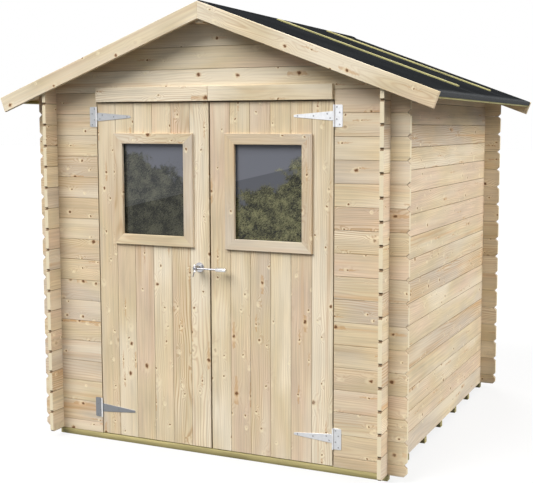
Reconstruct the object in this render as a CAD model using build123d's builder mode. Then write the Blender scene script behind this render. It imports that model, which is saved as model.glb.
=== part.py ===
from build123d import *
import math
import os

# A garden shed of interlocking boards: X runs to the right, Y to the back and Z up from the ground.
# All lengths are in millimetres, and left and right are as seen from the front.

# Walls: boards laid one on another, crossing and running on past each corner
plan_width = 1800.0
plan_depth = 1800.0
wall_thickness = 19.0
corner_overhang = 90.0
board_pitch = 105.0
side_courses = 17
doorway_courses = 16
groove_depth = 3.5
end_notch_depth = 14.0
side_notch_depth = 7.0
half_board_share = 0.5
cross_lap_share = 0.5

# Floor: treated joists under the walls, with a boarded deck between the walls
joist_height = 30.0
joist_width = 35.0
joist_count = 7
deck_thickness = 16.0
deck_gap = 5.0

# Roof: two boarded slopes on a ridge purlin, felted, with barge boards front and back
roof_pitch = 20.46
roof_board_thickness = 16.0
roof_board_run = 1195.0
felt_thickness = 3.0
felt_fold = 20.0
felt_ridge_roll = 6.0
eave_strip_thickness = 16.0
eave_strip_height = 30.0
eave_strip_joint_gap = 8.0
eave_strip_joint_forward = 27.0
barge_thickness = 18.0
barge_depth = 75.0
barge_lip = 1.5
barge_reach = 4.0
purlin_width = 45.0
purlin_height = 80.0
batten_width = 35.0
batten_thickness = 8.0
batten_ridge_gap = 30.0
batten_eave_gap = 136.0
batten_spacing = 690.0
batten_back_shift = 145.0

# Doorway: a head rail and two stop posts behind the wall, with a lintel in two lengths outside
door_gap = 5.0
head_rail_depth = 45.0
head_rail_height = 45.5
lintel_height = 70.0
lintel_thickness = 16.0
lintel_end_gap = 6.0
lintel_joint_gap = 1.0
jamb_width = 45.0
jamb_depth = 45.0
jamb_lap = 15.0
jamb_rebate_margin = 3.0

# Door leaves: upright boards on three ledges, hung to swing outwards
leaf_boards = 6
leaf_gap = 6.0
ledge_height = 90.0
ledge_thickness = 19.0
ledge_inset = 25.0
ledge_window_gap = 20.0

# Windows: a fixed pane in each leaf, with a frame outside and one inside
window_frame_width = 446.0
window_frame_height = 547.0
window_frame_member = 51.0
window_frame_thickness = 14.0
window_inner_thickness = 12.0
window_drop = 147.5
window_shift = 8.0
glass_lap = 10.0
glass_thickness = 4.0
glass_setback = 8.0

# Hinges: a wall plate, a tapered strap on the leaf and a pin through their knuckles
hinge_plate_width = 41.0
hinge_plate_height = 100.0
hinge_thickness = 2.5
hinge_barrel_radius = 4.5
hinge_barrel_standoff = 1.0
hinge_pin_radius = 2.0
hinge_pin_clearance = 0.05
hinge_knuckle_gap = 0.5
hinge_plate_relief = 0.8
strap_length = 198.0
strap_root_height = 42.0
strap_tip_radius = 6.0
upper_hinge_drop = 67.0
lower_hinge_rise = 130.0

# Latch: a lever on a round rose on the left leaf, reaching across to the right leaf
latch_backset = 55.0
latch_rise = 888.0
rose_radius = 24.0
rose_thickness = 5.0
rose_edge = 1.5
neck_radius = 12.0
neck_length = 9.0
spindle_radius = 8.0
spindle_clearance = 0.05
spindle_end_gap = 0.5
lever_hub_radius = 11.0
lever_standoff = 45.0
lever_arm_radius = 4.5
lever_reach = 165.0
lever_grip_length = 54.0
lever_grip_radius = 10.5
lever_rounding = 3.0

# How far every cut runs on past what it cuts
cut_overrun = 10.0

LEFT, RIGHT = -1, 1
FRONT, BACK = -1, 1
BOTH = (-1, 1)

half_width = plan_width / 2
half_depth = plan_depth / 2
log_end_x = half_width + corner_overhang
log_end_y = half_depth + corner_overhang
wall_base = joist_height
wall_top = wall_base + side_courses * board_pitch
lap_height = cross_lap_share * board_pitch

roof_angle = math.radians(roof_pitch)
ridge_underside = wall_top + half_width * math.tan(roof_angle)
felt_top = roof_board_thickness + felt_thickness
felt_run = roof_board_run + eave_strip_thickness
barge_run = felt_run + felt_thickness + barge_reach
barge_top = roof_board_thickness + barge_lip
barge_front = log_end_y + barge_thickness
purlin_bottom = ridge_underside - purlin_height

leaf_width = leaf_boards * board_pitch
leaf_inner_edge = leaf_gap / 2
leaf_hinge_edge = leaf_inner_edge + leaf_width
doorway_half = leaf_hinge_edge + door_gap
leaf_face = -half_depth
leaf_back = leaf_face + wall_thickness

window_x = (leaf_inner_edge + leaf_hinge_edge) / 2 - window_shift
glass_width = window_frame_width - 2 * (window_frame_member - glass_lap)
glass_height = window_frame_height - 2 * (window_frame_member - glass_lap)
sight_width = window_frame_width - 2 * window_frame_member
sight_height = window_frame_height - 2 * window_frame_member

hinge_axis_x = doorway_half - door_gap / 2
hinge_axis_y = leaf_face - hinge_barrel_standoff - hinge_barrel_radius


def side_joint(course):
    """Height of the joint on top of a given number of whole side boards."""
    return wall_base + course * board_pitch


def front_joint(course):
    """Height of a front or back joint: these walls start with half a board."""
    return side_joint(course + half_board_share)


doorway_top = front_joint(doorway_courses)
head_bottom = doorway_top - head_rail_height
leaf_bottom = wall_base + door_gap
leaf_top = head_bottom - door_gap
upper_hinge_z = leaf_top - upper_hinge_drop
lower_hinge_z = leaf_bottom + lower_hinge_rise
hinge_heights = (lower_hinge_z, upper_hinge_z)
window_top = leaf_top - window_drop
window_z = window_top - window_frame_height / 2
middle_ledge_z = window_top - window_frame_height - ledge_window_gap - ledge_height / 2
ledge_heights = (lower_hinge_z, middle_ledge_z, upper_hinge_z)
latch_x = -(leaf_inner_edge + latch_backset)
latch_z = leaf_bottom + latch_rise

side_joints = [side_joint(course) for course in range(1, side_courses)]
front_joints = [front_joint(course) for course in range(doorway_courses + 1)]
gable_joints = [z for z in map(front_joint, range(doorway_courses, 2 * side_courses)) if z < ridge_underside]


def slope_point(side, run, rise):
    """Point (x, z) a run down a slope from the ridge, raised square to the roof boards' underside."""
    across = run * math.cos(roof_angle) + rise * math.sin(roof_angle)
    up = rise * math.cos(roof_angle) - run * math.sin(roof_angle)
    return (side * across, ridge_underside + up)


def ridge_point(rise):
    """Point (x, z) on the ridge line of a layer that is raised off the roof boards' underside."""
    return (0, ridge_underside + rise / math.cos(roof_angle))


def slope_slab(side, run, low, high):
    """Outline of a layer on one slope, cut upright at the ridge and square at the eave."""
    eave = [slope_point(side, run, low), slope_point(side, run, high)]
    return [ridge_point(low), *eave, ridge_point(high)]


def slope_strip(side, start, end, low, high):
    """Outline of a strip on one slope, cut square at both ends."""
    return [
        slope_point(side, start, low),
        slope_point(side, end, low),
        slope_point(side, end, high),
        slope_point(side, start, high),
    ]


def grooved_face(face, inward, low, high, joints):
    """Points along a boarded face, dipping inward in a V at every joint between boards."""
    points = [] if low in joints else [(face, low)]
    for joint in joints:
        if joint > low:
            points.append((face, joint - groove_depth))
        points.append((face + inward * groove_depth, joint))
        if joint < high:
            points.append((face, joint + groove_depth))
    return points if high in joints else [*points, (face, high)]


def grooved_section(face, back, low, high, joints):
    """Closed section of a boarded wall with grooves in both faces."""
    inward = math.copysign(1, back - face)
    outside = grooved_face(face, inward, low, high, joints)
    inside = grooved_face(back, -inward, low, high, joints)
    return [*outside, *reversed(inside)]


def along_y(outline, y_low, y_high):
    """A prism of an (x, z) outline between two places along Y."""
    with BuildPart() as prism:
        with BuildSketch(Plane.XZ.offset(-y_high)):
            Polygon(*outline)
        extrude(amount=y_high - y_low)
    return prism.part


def block(x_range, y_range, z_range):
    """A plain block between two places on each axis."""
    corners = [(x, y) for x, y in zip((*x_range, *reversed(x_range)), sorted((*y_range, *y_range)))]
    with BuildPart() as solid:
        with BuildSketch(Plane.XY.offset(z_range[0])):
            Polygon(*corners)
        extrude(amount=z_range[1] - z_range[0])
    return solid.part


def write(name, piece):
    """Label a finished piece and save it under its name."""
    piece.label = name
    export_step(piece, f"parts/{name}.step")


def crossing_slots(places, heights):
    """Cut the half laps through which the boards of the crossing walls pass."""
    with Locations(*[(place, height) for place in places for height in heights]):
        Rectangle(wall_thickness, lap_height)


def end_notches(places, heights, depth):
    """Cut the corners off every board end."""
    with Locations(*[(place, height) for place in places for height in heights]):
        RegularPolygon(depth, 4)


def side_wall(side):
    """A side wall in one slab, bevelled on top to the roof, with its board ends past both corners."""
    face = side * half_width
    back = side * (half_width - wall_thickness)
    section = grooved_section(face, back, wall_base, wall_top, side_joints)
    inner_top = wall_top + wall_thickness * math.tan(roof_angle)
    section = [(x, inner_top if (x, z) == (back, wall_top) else z) for x, z in section]
    crossing_places = [end * (half_depth - wall_thickness / 2) for end in BOTH]
    crossing_heights = [side_joint(course) for course in range(side_courses + 1)]
    with BuildPart() as wall:
        with BuildSketch(Plane.XZ.offset(-log_end_y)):
            Polygon(*section)
        extrude(amount=2 * log_end_y)
        with BuildSketch(Plane.YZ):
            crossing_slots(crossing_places, crossing_heights)
            end_notches((-log_end_y, log_end_y), crossing_heights, side_notch_depth)
        extrude(amount=half_width + cut_overrun, both=True, mode=Mode.SUBTRACT)
    return wall.part


def cross_wall(end, x_low, x_high):
    """A stretch of front or back wall up to the doorway's top, with the board ends that it has."""
    face = end * half_depth
    back = end * (half_depth - wall_thickness)
    section = grooved_section(face, back, wall_base, doorway_top, front_joints)
    crossing_places = [side * (half_width - wall_thickness / 2) for side in BOTH]
    with BuildPart() as wall:
        with BuildSketch(Plane.YZ.offset(x_low)):
            Polygon(*section)
        extrude(amount=x_high - x_low)
        with BuildSketch(Plane.XZ):
            crossing_slots(crossing_places, front_joints)
            end_notches((-log_end_x, log_end_x), front_joints, end_notch_depth)
        extrude(amount=half_depth + cut_overrun, both=True, mode=Mode.SUBTRACT)
    return wall.part


def gable(end):
    """The boards over the doorway's top, cut to both slopes and notched for the ridge purlin."""
    face = end * half_depth
    back = end * (half_depth - wall_thickness)
    section = grooved_section(face, back, doorway_top, ridge_underside, gable_joints)
    slope_ends = [(side * log_end_x, ridge_underside - log_end_x * math.tan(roof_angle)) for side in BOTH]
    crossing_places = [side * (half_width - wall_thickness / 2) for side in BOTH]
    outline = [
        (-log_end_x, doorway_top),
        (log_end_x, doorway_top),
        slope_ends[1],
        (purlin_width / 2, ridge_underside - purlin_width / 2 * math.tan(roof_angle)),
        (purlin_width / 2, purlin_bottom),
        (-purlin_width / 2, purlin_bottom),
        (-purlin_width / 2, ridge_underside - purlin_width / 2 * math.tan(roof_angle)),
        slope_ends[0],
    ]
    with BuildPart() as wall:
        with BuildSketch(Plane.YZ.offset(-log_end_x)):
            Polygon(*section)
        extrude(amount=2 * log_end_x)
        with BuildSketch(Plane.XZ):
            Polygon(*outline)
            with Locations(*[(place, doorway_top) for place in crossing_places]):
                Rectangle(wall_thickness, lap_height, mode=Mode.SUBTRACT)
            with Locations((-log_end_x, doorway_top), (log_end_x, doorway_top)):
                RegularPolygon(end_notch_depth, 4, mode=Mode.SUBTRACT)
        extrude(amount=half_depth + cut_overrun, both=True, mode=Mode.INTERSECT)
    return wall.part


def floor_joists():
    """Treated joists across the shed, the first and last under the front and back walls."""
    pitch = (plan_depth - joist_width) / (joist_count - 1)
    places = [(0, joist_width / 2 - half_depth + index * pitch) for index in range(joist_count)]
    with BuildPart() as joists:
        with BuildSketch():
            with Locations(*places):
                Rectangle(plan_width, joist_width)
        extrude(amount=joist_height)
    return joists.part


def floor_deck():
    """The boarded floor, inside the walls and on the joists."""
    across = half_width - wall_thickness - deck_gap
    along = half_depth - wall_thickness - deck_gap
    return block((-across, across), (-along, along), (wall_base, wall_base + deck_thickness))


def ridge_purlin():
    """The ridge beam, bevelled to both slopes, showing below the barge boards."""
    shoulder = ridge_underside - purlin_width / 2 * math.tan(roof_angle)
    outline = [
        (-purlin_width / 2, purlin_bottom),
        (purlin_width / 2, purlin_bottom),
        (purlin_width / 2, shoulder),
        (0, ridge_underside),
        (-purlin_width / 2, shoulder),
    ]
    return along_y(outline, -log_end_y, log_end_y)


def roof_boards(side):
    """The boarding of one slope."""
    outline = slope_slab(side, roof_board_run, 0, roof_board_thickness)
    return along_y(outline, -log_end_y, log_end_y)


def felt(side):
    """Roofing felt over one slope, rounded over the ridge and folded down over the eave strip."""
    eave = [
        slope_point(side, felt_run, roof_board_thickness),
        slope_point(side, felt_run, roof_board_thickness - felt_fold),
        slope_point(side, felt_run + felt_thickness, roof_board_thickness - felt_fold),
        slope_point(side, felt_run + felt_thickness, felt_top),
    ]
    roll_foot = slope_point(side, batten_ridge_gap, felt_top)
    roll_top = ridge_point(felt_top + felt_ridge_roll)
    outline = [ridge_point(roof_board_thickness), *eave, roll_foot, roll_top]
    return along_y(outline, -log_end_y, log_end_y)


def felt_battens(side):
    """Battens down one slope that hold the laps of the felt."""
    low, high = felt_top, felt_top + batten_thickness
    outline = slope_strip(side, batten_ridge_gap, felt_run - batten_eave_gap, low, high)
    middle = batten_back_shift
    with BuildPart() as battens:
        for place in (middle - batten_spacing / 2, middle + batten_spacing / 2):
            with BuildSketch(Plane.XZ.offset(-place - batten_width / 2)):
                Polygon(*outline)
            extrude(amount=batten_width)
    return battens.part


def eave_strips(side):
    """A strip along the ends of the roof boards, in two lengths."""
    low, high = roof_board_thickness - eave_strip_height, roof_board_thickness
    outline = slope_strip(side, roof_board_run, felt_run, low, high)
    joint = -eave_strip_joint_forward
    lengths = (
        (-log_end_y, joint - eave_strip_joint_gap / 2),
        (joint + eave_strip_joint_gap / 2, log_end_y),
    )
    with BuildPart() as strips:
        for y_low, y_high in lengths:
            with BuildSketch(Plane.XZ.offset(-y_high)):
                Polygon(*outline)
            extrude(amount=y_high - y_low)
    return strips.part


def barge_board(end, side):
    """A sloping board over the ends of the roof boards, mitred to its fellow at the ridge."""
    outline = slope_slab(side, barge_run, barge_top - barge_depth, barge_top)
    near, far = sorted((end * log_end_y, end * barge_front))
    return along_y(outline, near, far)


def lintel(side):
    """One length of the trim over the doorway, on the head rail and the gable."""
    x_range = sorted((side * lintel_joint_gap / 2, side * (doorway_half - lintel_end_gap)))
    y_range = (leaf_face - lintel_thickness, leaf_face)
    return block(x_range, y_range, (head_bottom, head_bottom + lintel_height))


def head_rail():
    """The rail that fills the doorway above the leaves."""
    y_range = (leaf_face, leaf_face + head_rail_depth)
    return block((-doorway_half, doorway_half), y_range, (head_bottom, doorway_top))


def jamb(side):
    """A post behind the doorway's edge, rebated so that the closed leaf stays clear of it."""
    stop_edge = doorway_half - jamb_lap
    rebate_edge = doorway_half + jamb_rebate_margin
    post_edge = stop_edge + jamb_width
    back = leaf_back + jamb_depth
    outline = [
        (stop_edge, leaf_back + door_gap),
        (rebate_edge, leaf_back + door_gap),
        (rebate_edge, leaf_back),
        (post_edge, leaf_back),
        (post_edge, back),
        (stop_edge, back),
    ]
    deck_top = wall_base + deck_thickness
    with BuildPart() as post:
        with BuildSketch(Plane.XY.offset(deck_top)):
            Polygon(*[(side * x, y) for x, y in outline])
        extrude(amount=head_bottom - deck_top)
    return post.part


def leaf_joint(board):
    """Place of the joint after a given number of leaf boards, counted from the meeting edge."""
    return leaf_inner_edge + board * board_pitch


def door_boards(side):
    """The upright boards of one leaf, with the hole for its window."""
    joints = [leaf_joint(board) for board in range(1, leaf_boards)]
    section = grooved_section(leaf_face, leaf_back, leaf_inner_edge, leaf_hinge_edge, joints)
    with BuildPart() as leaf:
        with BuildSketch(Plane.XY.offset(leaf_bottom)):
            Polygon(*[(side * x, y) for y, x in section])
        extrude(amount=leaf_top - leaf_bottom)
        with BuildSketch(Plane.XZ):
            with Locations((side * window_x, window_z)):
                Rectangle(glass_width, glass_height)
        extrude(amount=half_depth + cut_overrun, mode=Mode.SUBTRACT)
    return leaf.part


def door_ledges(side):
    """Three ledges across the back of one leaf."""
    middle = side * (leaf_inner_edge + leaf_hinge_edge) / 2
    with BuildPart() as ledges:
        with BuildSketch(Plane.XZ.offset(-leaf_back - ledge_thickness)):
            with Locations(*[(middle, height) for height in ledge_heights]):
                Rectangle(leaf_width - 2 * ledge_inset, ledge_height)
        extrude(amount=ledge_thickness)
    return ledges.part


def window_frame(side, y_low, y_high):
    """A frame round the window, lapping over the edge of the pane."""
    with BuildPart() as frame:
        with BuildSketch(Plane.XZ.offset(-y_high)):
            with Locations((side * window_x, window_z)):
                Rectangle(window_frame_width, window_frame_height)
                Rectangle(sight_width, sight_height, mode=Mode.SUBTRACT)
        extrude(amount=y_high - y_low)
    return frame.part


def window_glass(side):
    """The pane, held in the hole through the leaf's boards."""
    front = leaf_face + glass_setback
    x_range = (side * window_x - glass_width / 2, side * window_x + glass_width / 2)
    z_range = (window_z - glass_height / 2, window_z + glass_height / 2)
    return block(x_range, (front, front + glass_thickness), z_range)


def hinge_plates(side):
    """The wall plates of one leaf's hinges, each with two knuckles and the pin."""
    knuckle_inner = strap_root_height / 2 + hinge_knuckle_gap
    knuckle_length = hinge_plate_height / 2 - knuckle_inner
    relief_width = hinge_barrel_radius + hinge_plate_relief
    plate_centre = side * (hinge_axis_x + hinge_plate_width / 2)
    with BuildPart() as plates:
        with BuildSketch(Plane.XZ.offset(-leaf_face)):
            with Locations(*[(plate_centre, height) for height in hinge_heights]):
                Rectangle(hinge_plate_width, hinge_plate_height)
            with Locations(*[(side * hinge_axis_x, height) for height in hinge_heights]):
                Rectangle(2 * relief_width, 2 * knuckle_inner, mode=Mode.SUBTRACT)
        extrude(amount=hinge_thickness)
        for height in hinge_heights:
            for start in (height - hinge_plate_height / 2, height + knuckle_inner):
                with BuildSketch(Plane.XY.offset(start)):
                    with Locations((side * hinge_axis_x, hinge_axis_y)):
                        Circle(hinge_barrel_radius)
                extrude(amount=knuckle_length)
            with BuildSketch(Plane.XY.offset(height - hinge_plate_height / 2)):
                with Locations((side * hinge_axis_x, hinge_axis_y)):
                    Circle(hinge_pin_radius)
            extrude(amount=hinge_plate_height)
    return plates.part


def hinge_straps(side):
    """The straps of one leaf's hinges, tapered to a round tip, each with the middle knuckle."""
    tip_x = side * (hinge_axis_x - strap_length + strap_tip_radius)
    with BuildPart() as straps:
        for height in hinge_heights:
            root = [(side * hinge_axis_x, height + half * strap_root_height / 2) for half in BOTH]
            tip = [(tip_x, height - half * strap_tip_radius) for half in BOTH]
            with BuildSketch(Plane.XZ.offset(-leaf_face)):
                Polygon(*root, *tip)
                with Locations((tip_x, height)):
                    Circle(strap_tip_radius)
            extrude(amount=hinge_thickness)
            with BuildSketch(Plane.XY.offset(height - strap_root_height / 2)):
                with Locations((side * hinge_axis_x, hinge_axis_y)):
                    Circle(hinge_barrel_radius)
            extrude(amount=strap_root_height)
            with BuildSketch(Plane.XY.offset(height - strap_root_height / 2)):
                with Locations((side * hinge_axis_x, hinge_axis_y)):
                    Circle(hinge_pin_radius + hinge_pin_clearance)
            extrude(amount=strap_root_height, mode=Mode.SUBTRACT)
    return straps.part


def latch_rose():
    """The round rose and neck on the left leaf, bored for the lever's spindle."""
    with BuildPart() as rose:
        with BuildSketch(Plane.XZ.offset(-leaf_face)):
            with Locations((latch_x, latch_z)):
                Circle(rose_radius)
        extrude(amount=rose_thickness)
        chamfer(rose.faces().sort_by(Axis.Y)[0].edges(), rose_edge)
        with BuildSketch(Plane.XZ.offset(rose_thickness - leaf_face)):
            with Locations((latch_x, latch_z)):
                Circle(neck_radius)
        extrude(amount=neck_length)
        with BuildSketch(Plane.XZ.offset(-leaf_face)):
            with Locations((latch_x, latch_z)):
                Circle(spindle_radius + spindle_clearance)
        extrude(amount=rose_thickness + neck_length, mode=Mode.SUBTRACT)
    return rose.part


def latch_lever():
    """The lever: a spindle in the rose, a rounded hub, a thin arm and a thick grip."""
    hub_start = rose_thickness + neck_length + spindle_end_gap
    arm_y = leaf_face - lever_standoff
    hub_end = lever_standoff + lever_hub_radius
    grip_start = latch_x + lever_reach - lever_grip_length
    with BuildPart() as lever:
        with BuildSketch(Plane.XZ.offset(spindle_end_gap - leaf_face)):
            with Locations((latch_x, latch_z)):
                Circle(spindle_radius)
        extrude(amount=hub_end - spindle_end_gap - lever_rounding)
        with BuildSketch(Plane.XZ.offset(hub_start - leaf_face)):
            with Locations((latch_x, latch_z)):
                Circle(lever_hub_radius)
        extrude(amount=hub_end - hub_start)
        fillet(lever.faces().sort_by(Axis.Y)[0].edges(), lever_rounding)
        with BuildSketch(Plane.YZ.offset(latch_x)):
            with Locations((arm_y, latch_z)):
                Circle(lever_arm_radius)
        extrude(amount=lever_reach - lever_grip_length)
        with BuildSketch(Plane.YZ.offset(grip_start)):
            with Locations((arm_y, latch_z)):
                Circle(lever_grip_radius)
        extrude(amount=lever_grip_length)
        fillet(lever.faces().sort_by(Axis.X)[-1].edges(), lever_rounding)
    return lever.part


os.makedirs("parts", exist_ok=True)

write("floor_joists", floor_joists())
write("floor_deck", floor_deck())
write("back_wall", cross_wall(BACK, -log_end_x, log_end_x))
write("front_wall_left", cross_wall(FRONT, -log_end_x, -doorway_half))
write("front_wall_right", cross_wall(FRONT, doorway_half, log_end_x))
write("front_gable", gable(FRONT))
write("back_gable", gable(BACK))
write("ridge_purlin", ridge_purlin())
write("door_head_rail", head_rail())
write("latch_rose", latch_rose())
write("latch_lever", latch_lever())

for name, side in (("left", LEFT), ("right", RIGHT)):
    write(f"{name}_wall", side_wall(side))
    write(f"roof_boards_{name}", roof_boards(side))
    write(f"felt_{name}", felt(side))
    write(f"felt_battens_{name}", felt_battens(side))
    write(f"eave_strips_{name}", eave_strips(side))
    write(f"barge_front_{name}", barge_board(FRONT, side))
    write(f"barge_rear_{name}", barge_board(BACK, side))
    write(f"lintel_{name}", lintel(side))
    write(f"jamb_{name}", jamb(side))
    write(f"hinge_plates_{name}", hinge_plates(side))
    write(f"{name}_door_boards", door_boards(side))
    write(f"{name}_door_ledges", door_ledges(side))
    write(f"{name}_window_frame", window_frame(side, leaf_face - window_frame_thickness, leaf_face))
    write(f"{name}_window_inner_frame", window_frame(side, leaf_back, leaf_back + window_inner_thickness))
    write(f"{name}_window_glass", window_glass(side))
    write(f"{name}_hinge_straps", hinge_straps(side))
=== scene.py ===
import math
import random
from collections import namedtuple

import bmesh
import bpy
from bpy.props import FloatProperty, FloatVectorProperty, PointerProperty
from mathutils import Matrix, Vector, noise


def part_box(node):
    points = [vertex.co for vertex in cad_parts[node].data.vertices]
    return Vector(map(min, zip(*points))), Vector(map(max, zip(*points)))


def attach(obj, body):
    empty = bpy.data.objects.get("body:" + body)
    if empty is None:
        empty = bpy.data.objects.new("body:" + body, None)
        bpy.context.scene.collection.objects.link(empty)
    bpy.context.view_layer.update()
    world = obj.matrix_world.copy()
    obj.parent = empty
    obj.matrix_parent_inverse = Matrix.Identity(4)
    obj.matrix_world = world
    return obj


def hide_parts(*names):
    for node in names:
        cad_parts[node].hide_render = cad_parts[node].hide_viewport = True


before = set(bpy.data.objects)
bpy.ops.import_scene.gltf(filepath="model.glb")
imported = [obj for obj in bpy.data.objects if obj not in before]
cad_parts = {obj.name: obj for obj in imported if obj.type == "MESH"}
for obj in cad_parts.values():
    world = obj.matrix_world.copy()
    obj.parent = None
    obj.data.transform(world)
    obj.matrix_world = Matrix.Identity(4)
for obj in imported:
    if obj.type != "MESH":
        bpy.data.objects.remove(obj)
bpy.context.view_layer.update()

bl_info = {
    "name": "Wooden garden shed",
    "version": (1, 0, 0),
    "blender": (4, 5, 0),
    "location": "3D View > Sidebar > Shed",
    "description": "Boards, felt, windows and ironwork of a log-board garden shed",
    "category": "Object",
}

X_AXIS = Vector((1.0, 0.0, 0.0))
Y_AXIS = Vector((0.0, 1.0, 0.0))
Z_AXIS = Vector((0.0, 0.0, 1.0))
SIDES = (("left", -1), ("right", 1))
CAMERA_PLACE = (2.2757, -5.0192, 1.5952)
CAMERA_AIM = (-0.4029, 0.9096, -0.1012)
CAMERA_LENS = 66.66
CAMERA_SENSOR = 36.0
CAMERA_SHIFT = (-0.0563, -0.0265)
CAMERA_REACH = 500.0
KEY_HEADING = (0.30, 0.64, -0.71)
SIDE_HEADING = (-0.84, 0.0, -0.54)
FILL_HEADING = (0.55, -0.62, -0.56)
WHITE = (1.0, 1.0, 1.0)
JOIST_COUNT = 7
NAIL_COUNT = 7
MERGE = 1e-6
Station = namedtuple("Station", "along low high low_groove high_groove")
Flat = namedtuple("Flat", "axis_x turn outline knuckles holes")


def length(name, description, default):
    """Makes a size in metres for a property group."""
    return FloatProperty(name=name, description=description, default=default, unit="LENGTH", precision=4)


def colour(name, description, default):
    """Makes a scene-linear colour for a property group."""
    return FloatVectorProperty(
        name=name, description=description, default=default, subtype="COLOR", min=0, max=1)


def strength(name, description, default):
    """Makes a strength of light for a property group."""
    return FloatProperty(name=name, description=description, default=default, subtype="UNSIGNED", min=0)


class ShedSizes(bpy.types.PropertyGroup):
    """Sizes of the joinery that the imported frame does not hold."""

    board_pitch: length("Board pitch", "Width of one wall or door board from joint to joint", 0.105)
    wall_groove: length("Wall groove", "Bevel on each edge of a wall board", 0.002)
    door_groove: length("Door groove", "Bevel on each edge of a door board", 0.0016)
    board_gap: length("Board gap", "Open joint between two boards", 0.0004)
    end_notch: length("End notch", "Corner cut off at the free end of a front or back board", 0.014)
    side_notch: length("Side notch", "Corner cut off at the free end of a side board", 0.007)
    eased_edge: length("Eased edge", "Bevel on the edges of planed timber", 0.0015)
    roof_board: length("Roof board", "Pitch of the boards under the felt", 0.11)
    roof_run: length("Roof run", "Length of the roof boards down the slope", 1.195)
    roof_thickness: length("Roof thickness", "Thickness of the roof boards", 0.016)
    felt_run: length("Felt run", "Length of the felt down the slope to its fold", 1.211)
    felt_thickness: length("Felt thickness", "Thickness of the roofing felt", 0.003)
    felt_fold: length("Felt fold", "Length of felt folded down at the eave", 0.02)
    ridge_roll: length("Ridge roll", "Height of the felt's round over the ridge", 0.006)
    felt_lap: length("Felt lap", "Width of the lap between two strips of felt", 0.09)
    barge_run: length("Barge run", "Length of a barge board down the slope", 1.218)
    barge_drop: length("Barge drop", "Depth of a barge board below the roof boards", 0.0575)
    barge_rise: length("Barge rise", "Height of a barge board over the underside of the roof boards", 0.0175)
    batten_start: length("Batten start", "Distance from the ridge to the felt battens", 0.03)
    batten_end: length("Batten end", "Distance from the ridge to the low end of the felt battens", 1.075)
    batten_width: length("Batten width", "Width of a felt batten", 0.035)
    batten_height: length("Batten height", "Thickness of a felt batten", 0.008)
    eave_depth: length("Eave depth", "Depth of an eave strip under the felt", 0.03)
    eave_gap: length("Eave gap", "Open joint between the two eave strips of a slope", 0.008)
    eave_joint: length("Eave joint", "Place of that joint along the ridge", -0.027)
    deck_board: length("Deck board", "Pitch of the floor boards", 0.0973)
    joist_width: length("Joist width", "Width of a floor joist", 0.035)
    stop_step: length("Stop step", "Depth of the step in a jamb that a leaf closes into", 0.005)
    stop_gap: length("Stop gap", "Room between that step and the edge of a leaf", 0.008)
    frame_member: length("Frame member", "Width of a window frame member", 0.051)
    frame_bead: length("Frame bead", "Bevel on the inner edge of a window frame", 0.002)
    mitre_gap: length("Mitre gap", "Open joint at a window frame's mitre", 0.0002)
    ledge_height: length("Ledge height", "Height of a ledge behind a leaf", 0.09)
    ledge_middle: length("Ledge middle", "Height of the middle ledge over the ground", 0.9525)
    plate_height: length("Plate height", "Height of a hinge's wall plate", 0.1)
    strap_height: length("Strap height", "Height of a hinge strap beside its pin", 0.042)
    hinge_thickness: length("Hinge thickness", "Thickness of the hinges' flat steel", 0.0025)
    hinge_edge: length("Hinge edge", "Bevel on the edges of that steel", 0.0007)
    barrel_radius: length("Barrel radius", "Radius of a hinge barrel", 0.0045)
    screw_radius: length("Screw radius", "Radius of a screw head", 0.0036)
    nail_radius: length("Nail radius", "Radius of a nail head", 0.004)


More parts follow.
